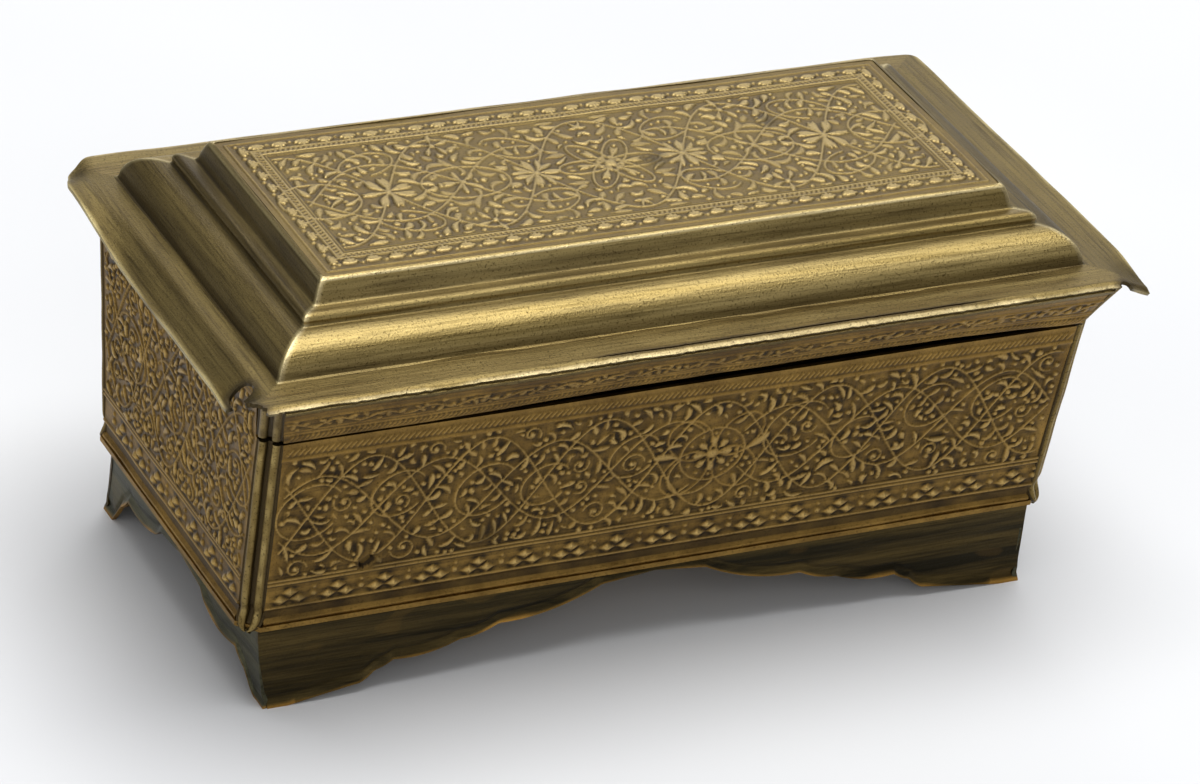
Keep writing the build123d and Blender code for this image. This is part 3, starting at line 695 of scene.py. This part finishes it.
def rim(along_x, along_y):
    """Flat rim with flanges, notches, a rounded front fold and a turned-down back edge."""
    bm = bmesh.new()
    columns, rows = round(2 * LID_X / RIM_CELL), round(2 * LID_Y / RIM_CELL)
    bmesh.ops.create_grid(bm, x_segments=columns, y_segments=rows, size=1)
    bmesh.ops.scale(bm, vec=(LID_X, LID_Y, 1), verts=bm.verts)
    hole_x, hole_y = PANEL_X + MOULDING_RUN - 0.3, PANEL_Y + MOULDING_RUN - 0.3
    bites = [(Vector((x, inset - LID_Y, 0)), radius) for x, inset, radius in BITES]
    gone = []
    for face in bm.faces:
        centre = face.calc_center_median()
        inside = abs(centre.x) < hole_x and abs(centre.y) < hole_y
        row = int((centre.y + LID_Y) / RIM_CELL)
        split = row == CRACK_ROW and CRACK_START < centre.x < CRACK_END
        if inside or split or any((centre - middle).length < radius for middle, radius in bites):
            gone.append(face)
    bmesh.ops.delete(bm, geom=gone, context="FACES")
    wander = random.Random(3)
    for vert in [vert for vert in bm.verts if vert.is_boundary]:
        near = [(vert.co - middle, middle, radius) for middle, radius in bites]
        near = [bite for bite in near if bite[0].length < bite[2] + RIM_CELL]
        if len(near) == 1:
            away, middle, radius = near[0]
            vert.co = middle + away.normalized() * radius * wander.uniform(0.93, 1.05)
            vert.co.y = max(vert.co.y, -LID_Y)
            vert.co.x = max(vert.co.x, -LID_X)
    for vert in bm.verts:
        over_x, over_y = abs(vert.co.x) - LID_X + 0.9, vert.co.y - LID_Y + 0.9
        if over_x > 0 and over_y > 0 and math.hypot(over_x, over_y) > 0:
            shrink = max(over_x, over_y) / math.hypot(over_x, over_y)
            vert.co.x = math.copysign(LID_X - 0.9 + over_x * shrink, vert.co.x)
            vert.co.y = LID_Y - 0.9 + over_y * shrink
    hem = [
        edge
        for edge in bm.edges
        if edge.is_boundary and all(v.co.y > LID_Y - 0.01 and abs(v.co.x) < LID_X - HEM_END_INSET for v in edge.verts)
    ]
    wear_and_highlight = bm.verts.layers.float.new("wear_and_highlight")
    hollow = bm.verts.layers.float.new("hollow")
    for vert in bm.verts:
        x, y = vert.co.x, vert.co.y
        curl = back_left_curl(x, y)
        out = max(abs(x) - LID_X, abs(y) - LID_Y)
        vert[wear_and_highlight] = smooth(1 + out / 0.5) * (0.7 + 0.5 * noise.noise(Vector((x, y, 0)) / 3))
        z = rim_height(x, y)
        from_edge, row = y + LID_Y, round((y + LID_Y) / RIM_CELL)
        cracked = smooth((x - CRACK_START) / 3) * smooth((CRACK_END - x) / 5)
        ragged = noise.noise(Vector((x / 0.5, 0, 2))) + 0.6 * noise.noise(Vector((x / 2.5, 0, 5)))
        # Painted shade in the crack: its two rows are darkened through the hollow attribute.
        if row in (CRACK_ROW, CRACK_ROW + 1):
            vert[hollow] = cracked
            closing = (0.04 + 0.08 * (1 - cracked)) * (CRACK_START < x < CRACK_END)
            y += closing if row == CRACK_ROW else -closing
        # Painted highlight on the narrow strip in front of the crack, set through the wear attribute.
        if row < CRACK_ROW:
            vert[wear_and_highlight] = max(vert[wear_and_highlight], 0.6 * cracked)
        # Around each bite the rim is darkened: painted shade at the hole's edge together with corrosion.
        for middle, radius in bites:
            near = smooth(1 - (math.hypot(x - middle.x, y - middle.y) - radius) / 0.7)
            vert[hollow] = max(vert[hollow], 0.9 * near)
        if abs(x) < LID_X - 2.5:
            y += 0.09 * (ragged + 1) * max(0.0, 1 - from_edge / 1.5)
        vert.co = ((x + 0.9 * curl) * RIM_FIT, (y - 0.9 * curl) * RIM_FIT, z)
    drop = RIM_TOP - LID_SHEET - (RIM_Z - HEM_DEPTH)
    for _ in range(4):
        made = bmesh.ops.extrude_edge_only(bm, edges=hem)["geom"]
        hem = [g for g in made if isinstance(g, bmesh.types.BMEdge)]
        verts = [g for g in made if isinstance(g, bmesh.types.BMVert)]
        bmesh.ops.translate(bm, vec=(0, 0, -drop / 4), verts=verts)
        for vert in verts:
            vert[wear_and_highlight] *= 0.5
    bmesh.ops.recalc_face_normals(bm, faces=bm.faces)
    if sum(face.normal.z * face.calc_area() for face in bm.faces) < 0:
        bmesh.ops.reverse_faces(bm, faces=bm.faces)
    for face in bm.faces:
        centre = face.calc_center_median()
        face.material_index = int(abs(centre.x) > hole_x and abs(centre.x) - hole_x > abs(centre.y) - hole_y)
    shade(bm, 50)
    for edge in bm.edges:
        if edge.is_boundary:
            edge.smooth = False
    piece = finish_piece(bm, "lid_rim", "lid", [along_x, along_y], ["lid_cover"])
    sheet = piece.modifiers.new("sheet", "SOLIDIFY")
    sheet.thickness, sheet.offset = 0.9 * LID_SHEET * MM, -1.0


def front_or_back(name, side, top, material, seed, medallion):
    """Embossed long wall, leaning out, between the corner strips."""
    tall = top - WALL_Z
    half = end_wall_x((WALL_Z + top) / 2) - CORNER_CUT
    panel = Relief(2 * half, tall, seed)
    border_top = min(tall, FRONT_TOP - WALL_Z)
    wall_border(panel, border_top)
    wall_vines(panel, DIAMOND_TOP + 0.6, border_top - ROPE_DROP - 0.2, seed * 0.7, medallion)
    if side < 0:
        panel.cut([(-25.35, 4.45), (-24.95, 4.75)], 0.42, 0.38)
        panel.mark(-15.5, 5.4, 1.5, 0.55)
        panel.mark(-24.6, 4.6, 1.1, 0.6)
        panel.mark(-30.5, 1.1, 2.6, 0.5)

    def place(u, v, height):
        z = WALL_Z + v
        x = u / half * (end_wall_x(z) - CORNER_CUT)
        out = height + wall_profile(v, tall) + dent(u, 40 * side, v, 7, 0.1)
        return Vector((side_sign(side) * x, side * (side_wall_y(z) + out), z))

    def back(u, v):
        z = WALL_Z + v
        x = u / half * (end_wall_x(z) - CORNER_CUT)
        return Vector((side_sign(side) * x, side * (side_wall_y(z) - WALL_SHEET), z))

    bm = stamped_sheet(panel, place, back)
    finish_piece(bm, name + "_embossed", "case", [material], [name])


def side_sign(side):
    """The back wall's pattern runs the other way, as seen from behind."""
    return 1 if side < 0 else -1


SQUEEZED = 2.0  # strip of an end wall that makes room for the lip's corner block


def end_wall(name, side, material, seed):
    """Embossed end wall; its front edge steps back above the parting line."""
    tall = WALL_TOP - WALL_Z
    half = side_wall_y((WALL_Z + WALL_TOP) / 2) - CORNER_CUT
    panel = Relief(2 * half, tall, seed, cell=CELL)
    wall_border(panel, tall)
    wall_vines(panel, DIAMOND_TOP + 0.6, tall - ROPE_DROP - 0.2, seed * 0.9, None)

    def across(u, z):
        edge = side_wall_y(z) - CORNER_CUT
        front = side_wall_y(FRONT_TOP) - CORNER_CUT - LIP_CLEARANCE
        y = u / half * edge
        if z > FRONT_TOP and y < SQUEEZED - front:
            y = SQUEEZED * (y + edge) / (SQUEEZED - front + edge) - front
        return y

    def place(u, v, height):
        z = WALL_Z + v
        out = height + wall_profile(v, tall) + dent(50 * side, u, v, 7, 0.1)
        return Vector((side * (end_wall_x(z) + out), across(u, z), z))

    def back(u, v):
        z = WALL_Z + v
        return Vector((side * (end_wall_x(z) - WALL_SHEET), across(u, z), z))

    bm = stamped_sheet(panel, place, back)
    finish_piece(bm, name + "_embossed", "case", [material], [name])


def lid_lip(material, worn_edge):
    """Embossed strip under the front rim."""
    panel = lip_relief()
    low_y, high_y = -LIP_HIGH.y - LID_SHEET, -LIP_LOW.y
    foot_half = END_HEAD - CORNER_CUT
    half = panel.length / 2
    foot_y = side_wall_y(LIP_LOW.z) + 0.15
    head_y = LID_Y - LIP_SETBACK - LIP_TURN
    top = LIP_HIGH.z - 0.14  # inside the rim's rounded fold

    def point(u, v, out):
        t = v / panel.tall
        x = u / half * (foot_half + t * (half - foot_half))
        y = foot_y + t * (head_y - foot_y)
        bow = LIP_BOW * smooth((x + 24) / 22) * smooth((36 - x) / 16) * (1 - t) ** 2
        return Vector((x, -(y + out * 0.86), LIP_LOW.z + t * (top - LIP_LOW.z) - out * 0.5 + bow))

    def place(u, v, height):
        band = 0.12 * smooth((1.0 - v) / 0.12)
        return point(u, v, height + band + dent(u, v, 7, 6, 0.08))

    bm = stamped_sheet(panel, place, lambda u, v: point(u, v, -LID_SHEET))
    relief = bm.verts.layers.float["relief"]
    for face in bm.faces:
        high = face.calc_center_median().z > LIP_HIGH.z - 0.8
        face.material_index = int(high and all(vert[relief] > 0.9 * LIP_TURN for vert in face.verts))
    finish_piece(bm, "lid_front_lip_embossed", "lid", [material, worn_edge], ["lid_front_lip"])


REED = 0.34
REED_SPACING = 1.06


def reeds(across):
    """Height of the strip's face: two reeds with a channel between them."""
    nearest = abs(abs(across) - REED_SPACING / 2)
    channel = 0.16 if abs(across) < REED_SPACING / 2 - REED else 0.0
    return math.sqrt(max(0.0, REED**2 - nearest**2)) - channel


def reeded_strip(name, body, signs, foot, head, tongue, material, replaced):
    """Reeded strip over a corner; with a tongue its end is rounded and curls outwards."""
    bm = bmesh.new()
    tall = head[2] - foot[2]
    bmesh.ops.create_grid(bm, x_segments=36, y_segments=round(tall / 0.2), size=0.5)
    wear_and_highlight = bm.verts.layers.float.new("wear_and_highlight")
    hollow = bm.verts.layers.float.new("hollow")
    width = CORNER_CUT * 2**0.5
    for vert in bm.verts:
        across, t = vert.co.x * width, vert.co.y + 0.5
        above = t * tall
        out = reeds(across)
        # Painted shade in the channel between the reeds; the reed crests get wear and a painted highlight.
        vert[hollow] = smooth((0.2 - out) / 0.2)
        vert[wear_and_highlight] = smooth((out - 0.22) / 0.1) * (0.6 + 0.7 * noise.noise(Vector((across, above, 7)) / 1.2))
        if tongue:
            near = max(0.0, 1 - above / 1.0)
            across *= math.sqrt(max(0.03, 1 - near**2))
            out = out * (1 - 0.6 * near) + 0.55 * smooth(1 - above / 1.3) - 0.15 * math.exp(-(((above - 1.7) / 0.4) ** 2))
        along_x, along_y = (foot[i] + t * (head[i] - foot[i]) - CORNER_CUT / 2 for i in (0, 1))
        out += dent(along_x * signs[0], along_y * signs[1], above, 3, 0.06)
        x = along_x + (out + across) * 0.5**0.5
        y = along_y + (out - across) * 0.5**0.5
        vert.co = (signs[0] * x, signs[1] * y, foot[2] + above)
    bmesh.ops.recalc_face_normals(bm, faces=bm.faces)
    outward = Vector((signs[0], signs[1], 0))
    if sum(face.normal.dot(outward) for face in bm.faces) < 0:
        bmesh.ops.reverse_faces(bm, faces=bm.faces)
    bmesh.ops.solidify(bm, geom=bm.faces[:], thickness=WALL_SHEET * 0.8)
    shade(bm, 45)
    finish_piece(bm, name, body, [material], replaced)


def reeded_corners(material):
    """Strips at the body's four corners and blocks at the lip's ends."""
    for end, sign_x in (("left", -1), ("right", 1)):
        for side, sign_y in (("front", -1), ("back", 1)):
            top = FRONT_TOP if sign_y < 0 else WALL_TOP
            low = WALL_Z - 0.55
            foot = (end_wall_x(low), side_wall_y(low), low)
            head = (end_wall_x(top), side_wall_y(top), top)
            node = f"corner_strip_{side}_{end}"
            reeded_strip(node + "_reeded", "case", (sign_x, sign_y), foot, head, True, material, [node])
        foot = (END_HEAD, side_wall_y(LIP_LOW.z) + 0.12, LIP_LOW.z)
        head = (LIP_HIGH.x + CORNER_CUT, LID_Y - LIP_SETBACK, LIP_HIGH.z)
        node = f"lip_corner_{end}"
        reeded_strip(node + "_reeded", "lid", (sign_x, -1), foot, head, False, material, [node])


BASE_SHEET = 0.4
FOOT_FLARE = 0.2
FLARE_HEIGHT = 2.4
TOE = 1.8
BASE_X, BASE_Y, BASE_TOP = BASE_HIGH.x - FOOT_FLARE, BASE_END_HIGH.y - FOOT_FLARE, BASE_HIGH.z
# Apron cusps, (in from the base's corner, depth below its top), then the crown's depth
FRONT_CUSPS = [(8.75, 6.3), (9.85, 5.4), (11.35, 4.7), (16.75, 3.9), (20.05, 3.0), (28.65, 1.0)]
END_CUSPS = [(2.65, 5.4), (4.05, 4.1), (9.85, 3.6), (10.65, 2.85)]
FRONT_CROWN, END_CROWN = 0.5, 2.3
LOBE_SAG = 0.07


def apron_edge(u, half, cusps, crown):
    """Height of the apron's lower edge at a distance u from the middle."""
    corners = [(half + FOOT_FLARE - TOE, 0.0)]
    corners += [(half - inset, BASE_TOP - depth) for inset, depth in cusps]
    corners.append((0.0, BASE_TOP - crown))
    for number, ((u0, z0), (u1, z1)) in enumerate(zip(corners, corners[1:])):
        if u0 >= abs(u) >= u1:
            t = (u0 - abs(u)) / (u0 - u1)
            hanging = number > 0 and u1 > 0
            return z0 + t * (z1 - z0) - (4 * LOBE_SAG * (u0 - u1) * t * (1 - t) if hanging else 0)
    return 0.0


def base_strip(name, side_x, side_y, material):
    """Bracket-footed strip with a scalloped apron and a slightly rolled lower edge."""
    long_side = side_y != 0
    half, other = (BASE_X, BASE_Y) if long_side else (BASE_Y, BASE_X)
    cusps, crown = (FRONT_CUSPS, FRONT_CROWN) if long_side else (END_CUSPS, END_CROWN)
    bm = bmesh.new()
    bmesh.ops.create_grid(bm, x_segments=round(2 * half / 0.22), y_segments=24, size=0.5)
    wear_and_highlight = bm.verts.layers.float.new("wear_and_highlight")
    for vert in bm.verts:
        u, t = vert.co.x * 2 * (half + FOOT_FLARE - 0.01), vert.co.y + 0.5
        edge = apron_edge(u, half, cusps, crown)
        above = (BASE_TOP - edge) * t**1.3
        z = edge + above
        flare = FOOT_FLARE * max(0.0, 1 - z / FLARE_HEIGHT) ** 2
        u *= (half + flare) / (half + FOOT_FLARE)
        roll = 0.1 * math.exp(-((above / 0.25) ** 2))
        out = other + flare + roll * (z > 0.05) + dent(u, 30 * (side_x + 2 * side_y), z, 6, 0.14) * smooth(above)
        patch = noise.noise(Vector((u / 5, z / 2, 9 + side_x + 3 * side_y)))
        out -= 0.16 * math.exp(-(((above - 0.75) / 0.3) ** 2))
        vert[wear_and_highlight] = smooth(1 - above / 0.45) * (0.6 + 0.6 * patch) + 0.35 * smooth((patch - 0.1) / 0.3)
        vert[wear_and_highlight] += 0.7 * smooth(1 - above / 0.55) * (edge < 0.1)
        out = min(out, other + FOOT_FLARE)
        if side_y < 0:
            bent = smooth((-u - 25) / 8) * (1 - z / BASE_TOP) ** 1.6
            u, out = u + 1.5 * bent, out - 0.1 * bent
        if side_x < 0:
            bent = smooth((-u - 7) / 7) * (1 - z / BASE_TOP) ** 1.6
            u, out = u + 0.15 * bent, out - 1.15 * bent
        vert.co = (u, side_y * out, z) if long_side else (side_x * out, u, z)
    bmesh.ops.recalc_face_normals(bm, faces=bm.faces)
    outward = Vector((side_x, side_y, 0))
    if sum(face.normal.dot(outward) for face in bm.faces) < 0:
        bmesh.ops.reverse_faces(bm, faces=bm.faces)
    bmesh.ops.solidify(bm, geom=bm.faces[:], thickness=BASE_SHEET * 0.8)
    shade(bm, 45)
    finish_piece(bm, name + "_apron", "case", [material], [name])


# Materials ------------------------------------------------------------------------------


def linear(hex_colour):
    """sRGB hex colour as linear RGBA."""
    parts = [int(hex_colour[i : i + 2], 16) / 255 for i in (1, 3, 5)]
    return [c / 12.92 if c < 0.04045 else ((c + 0.055) / 1.055) ** 2.4 for c in parts] + [1.0]


def add(tree, kind, inputs, **settings):
    """Add a node, set its properties, and set or link its inputs."""
    node = tree.nodes.new(kind)
    for name, value in settings.items():
        setattr(node, name, value)
    for socket, value in inputs.items():
        if isinstance(value, bpy.types.NodeSocket):
            tree.links.new(value, node.inputs[socket])
        else:
            node.inputs[socket].default_value = value
    return node


def per_mm(size):
    """Texture scale that gives features of a size in mm."""
    return 1 / (size * MM)


X_RUN, Y_RUN = (0.03, 1.0, 1.0), (1.0, 0.03, 1.0)
A, B, MIXED = 6, 7, 2  # colour sockets of the mix node


def aged_brass(name, ground, light, raised, recess, streaks=None, rough=(0.36, 0.56), relief=0.0, pits=0.5, dirt_and_shade=0.85):
    """Old brass sheet: mottled ground, high places rubbed and lightened by a painted highlight, dirt and painted shade
    in hollows, pits, streaks.
    """
    material = bpy.data.materials.new(name)
    material.use_nodes = True
    tree = material.node_tree
    shader = tree.nodes["Principled BSDF"]
    place = add(tree, "ShaderNodeTexCoord", {}).outputs["Object"]
    along = place
    if streaks:
        along = add(tree, "ShaderNodeMapping", {"Vector": place, "Scale": streaks}).outputs["Vector"]
    size = 1.4 if streaks else 4
    mottle = add(tree, "ShaderNodeTexNoise", {"Vector": along, "Scale": per_mm(size), "Detail": 7.0, "Roughness": 0.68})
    mottled = add(
        tree, "ShaderNodeMapRange", {"Value": mottle.outputs["Fac"], "From Min": 0.36, "From Max": 0.64}
    ).outputs["Result"]
    colour = add(
        tree, "ShaderNodeMix", {0: mottled, A: linear(ground), B: linear(light)}, data_type="RGBA"
    ).outputs[MIXED]
    grain = add(tree, "ShaderNodeTexNoise", {"Vector": place, "Scale": per_mm(0.16), "Detail": 2.0, "Roughness": 0.7})
    bump_height = grain.outputs["Fac"]
    if streaks:
        brushed = add(
            tree, "ShaderNodeTexNoise", {"Vector": along, "Scale": per_mm(0.25), "Detail": 6.0, "Roughness": 0.7}
        )
        dark = add(
            tree, "ShaderNodeMapRange",
            {"Value": brushed.outputs["Fac"], "From Min": 0.47, "From Max": 0.72, "To Max": 0.75},
        ).outputs["Result"]
        colour = add(tree, "ShaderNodeMix", {0: dark, A: colour, B: linear(recess)}, data_type="RGBA").outputs[MIXED]
        bump_height = add(
            tree, "ShaderNodeMath", {0: brushed.outputs["Fac"], 1: grain.outputs["Fac"]}, operation="ADD"
        ).outputs["Value"]
    # Painted highlight and wear: raised or worn places are mixed towards the raised colour.
    high = add(tree, "ShaderNodeAttribute", {}, attribute_name="relief" if relief else "wear_and_highlight")
    raise_to = relief or 1.0
    rubbed_and_lit = add(
        tree, "ShaderNodeMapRange",
        {"Value": high.outputs["Fac"], "From Min": 0.3 * raise_to, "From Max": 1.1 * raise_to, "To Max": 0.85},
    ).outputs["Result"]
    colour = add(tree, "ShaderNodeMix", {0: rubbed_and_lit, A: colour, B: linear(raised)}, data_type="RGBA").outputs[MIXED]
    # Painted shade and dirt: the recess colour is mixed in where the hollow attribute is high.
    deep = add(tree, "ShaderNodeAttribute", {}, attribute_name="hollow").outputs["Fac"]
    darkened = add(tree, "ShaderNodeMapRange", {"Value": deep, "To Max": dirt_and_shade}).outputs["Result"]
    colour = add(tree, "ShaderNodeMix", {0: darkened, A: colour, B: linear(recess)}, data_type="RGBA").outputs[MIXED]
    pitted = add(
        tree, "ShaderNodeMapRange",
        {"Value": grain.outputs["Fac"], "From Min": 0.56, "From Max": 0.68, "To Max": pits},
    ).outputs["Result"]
    colour = add(tree, "ShaderNodeMix", {0: pitted, A: colour, B: linear(recess)}, data_type="RGBA").outputs[MIXED]
    roughness = add(
        tree, "ShaderNodeMapRange",
        {"Value": mottle.outputs["Fac"], "From Min": 0.3, "From Max": 0.7, "To Min": rough[0], "To Max": rough[1]},
    ).outputs["Result"]
    metal = add(tree, "ShaderNodeMapRange", {"Value": deep, "To Min": 1.0, "To Max": 0.8}).outputs["Result"]
    bump = add(tree, "ShaderNodeBump", {"Height": bump_height, "Strength": 0.7, "Distance": 0.04 * MM})
    tree.links.new(colour, shader.inputs["Base Color"])
    tree.links.new(roughness, shader.inputs["Roughness"])
    tree.links.new(bump.outputs["Normal"], shader.inputs["Normal"])
    tree.links.new(metal, shader.inputs["Metallic"])
    return material


def pale_floor():
    """Matt white paper sweep: even, no gloss."""
    material = bpy.data.materials.new("paper_matt_white")
    material.use_nodes = True
    tree = material.node_tree
    shader = tree.nodes["Principled BSDF"]
    place = add(tree, "ShaderNodeTexCoord", {}).outputs["Object"]
    fibre = add(tree, "ShaderNodeTexNoise", {"Vector": place, "Scale": per_mm(60)})
    tone = add(
        tree, "ShaderNodeMix", {0: fibre.outputs["Fac"], A: linear("#C6C7CA"), B: linear("#CFD0D1")}, data_type="RGBA"
    )
    tree.links.new(tone.outputs[MIXED], shader.inputs["Base Color"])
    shader.inputs["Roughness"].default_value = 0.9
    return material


# Stage ----------------------------------------------------------------------------------


def floor():
    bm = bmesh.new()
    bmesh.ops.create_grid(bm, x_segments=1, y_segments=1, size=2)
    mesh = bpy.data.meshes.new("floor")
    bm.to_mesh(mesh)
    bm.free()
    mesh.materials.append(pale_floor())
    sheet = bpy.data.objects.new("floor", mesh)
    bpy.context.scene.collection.objects.link(sheet)
    sheet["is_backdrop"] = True


def softbox(name, place, aim, size, watts, colour="#FFFFFF"):
    """Square area light."""
    data = bpy.data.lights.new(name, "AREA")
    data.size = size
    data.energy = watts
    data.color = linear(colour)[:3]
    lamp = bpy.data.objects.new(name, data)
    bpy.context.scene.collection.objects.link(lamp)
    lamp.location = place
    lamp.rotation_euler = (Vector(aim) - Vector(place)).to_track_quat("-Z", "Y").to_euler()


def studio():
    """Large softbox overhead, weaker ones behind and in front, pale surroundings."""
    softbox("overhead", (0.05, 0.02, 0.62), (0, 0, 0), 0.5, 5.2)
    softbox("behind", (0.35, 0.62, 0.42), (0, 0, 0), 0.5, 1.3)
    softbox("front", (-0.25, -0.8, 0.45), (0, 0, 0.01), 0.6, 1.7)
    softbox("left", (-0.8, -0.15, 0.3), (0, 0, 0.01), 0.6, 1.1)
    world = bpy.data.worlds.new("surroundings")
    world.use_nodes = True
    backdrop = world.node_tree.nodes["Background"]
    backdrop.inputs["Color"].default_value = linear("#CCCCCC")
    backdrop.inputs["Strength"].default_value = 0.55
    bpy.context.scene.world = world
    bpy.context.scene.view_settings.view_transform = "Standard"


def camera():
    """Long lens from the front left, tilted a little."""
    data = bpy.data.cameras.new("camera")
    data.sensor_width = 36.0
    data.lens = 170.8
    data.clip_start, data.clip_end = 0.01, 10
    azimuth, elevation, roll = math.radians(-29.2), math.radians(30.15), math.radians(7.09)
    distance, target = 0.44688, Vector((0.0016, 0, 0.0139))
    back = Vector(
        (
            math.sin(azimuth) * math.cos(elevation),
            -math.cos(azimuth) * math.cos(elevation),
            math.sin(elevation),
        )
    )
    turn = Matrix.Rotation(roll, 3, back) @ back.to_track_quat("Z", "Y").to_matrix()
    pose = turn.to_4x4()
    pose.translation = target + back * distance
    eye = bpy.data.objects.new("camera", data)
    bpy.context.scene.collection.objects.link(eye)
    eye.matrix_world = pose
    bpy.context.scene.camera = eye


def build_case():
    """Every piece with its finish."""
    # Stamped sheet, toned brown, high places rubbed to a dull yellow and lightened further as a painted highlight; the
    # dark recess colour is painted shade beside the pattern
    lid_brass = aged_brass("brass_stamped_lid_panel", "#614F2A", "#7A683E", "#9E8B5E", "#261C0A", relief=0.1, dirt_and_shade=0.7)
    wall_brass = aged_brass("brass_stamped_walls", "#6B5229", "#98793F", "#B89C62", "#140D03", relief=0.2, dirt_and_shade=0.92)
    # Drawn mouldings, brushed along their run, dark streaks where dirt stays; the front copy is lighter as painted
    # light, the ends copy darker as painted shade
    run_x = aged_brass("brass_drawn_along_the_front_lightened", "#8E7B4A", "#AA9764", "#E0D0A4", "#33250B", streaks=X_RUN, pits=0.7)
    rim_x = aged_brass("brass_rolled_front_rim", "#665632", "#84744A", "#CDBD92", "#2A1F0C", streaks=X_RUN, pits=0.7)
    # Darker copy for the ends: painted shade.
    run_y = aged_brass("brass_drawn_along_the_ends_painted_shade", "#5C4E2C", "#776840", "#C8B986", "#2C2314", streaks=Y_RUN)
    # Thick plain sheet, nearly black with tarnish, brassy where it is rubbed
    base_brass = aged_brass("brass_plain_tarnished", "#282419", "#5C4D2C", "#B08640", "#14110A", streaks=X_RUN, pits=0.2)
    # The same sheet at the ends, paler grey-green as a painted reflection of the floor
    base_end_brass = aged_brass("brass_plain_painted_floor_reflection", "#3A3A2E", "#63614C", "#A8803C", "#1C1A12", streaks=Y_RUN, pits=0.2)
    # Rolled strip at the corners, bright on its reeds from wear and a painted highlight, painted shade in the channel
    # between them
    corner_brass = aged_brass("brass_rolled_corner", "#6A5832", "#7E6B3E", "#AA9560", "#2E220E", pits=0.9)
    # Plain rolled sheet and drawn wire inside, cleaner than the outside
    inner_brass = aged_brass("brass_rolled_sheet_inside", "#8C7440", "#A38A50", "#C0A468", "#57431F", streaks=X_RUN)
    wire_brass = aged_brass("brass_drawn_wire", "#8C7440", "#B0975A", "#C0A468", "#3A2C12", rough=(0.3, 0.4))

    lid_panel(lid_brass)
    lid_mouldings(run_x, run_y)
    rim(rim_x, run_y)
    lid_lip(wall_brass, rim_x)
    front_or_back("front_wall", -1, FRONT_TOP, wall_brass, 21, 3.0)
    front_or_back("back_wall", 1, WALL_TOP, wall_brass, 22, -2.0)
    reeded_corners(corner_brass)
    base_strip("base_front", 0, -1, base_brass)
    base_strip("base_back", 0, 1, base_brass)
    base_strip("base_left", -1, 0, base_end_brass)
    base_strip("base_right", 1, 0, base_end_brass)
    end_wall("left_end_wall", -1, wall_brass, 31)
    end_wall("right_end_wall", 1, wall_brass, 32)
    kept = {
        "floor_plate": wall_brass,
        "packet_": inner_brass,
        "lid_hinge_leaf": inner_brass,
        "case_hinge_leaf": inner_brass,
        "hinge_pin": wire_brass,
    }
    for name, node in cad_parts.items():
        for start, material in kept.items():
            if name.startswith(start):
                node.data.materials.clear()
                node.data.materials.append(material)


camera()
floor()
studio()
build_case()

as_lists = lambda corners: [list(corner) for corner in corners]
{"cad": as_lists(CAD_BOX), "visual": as_lists(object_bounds())}
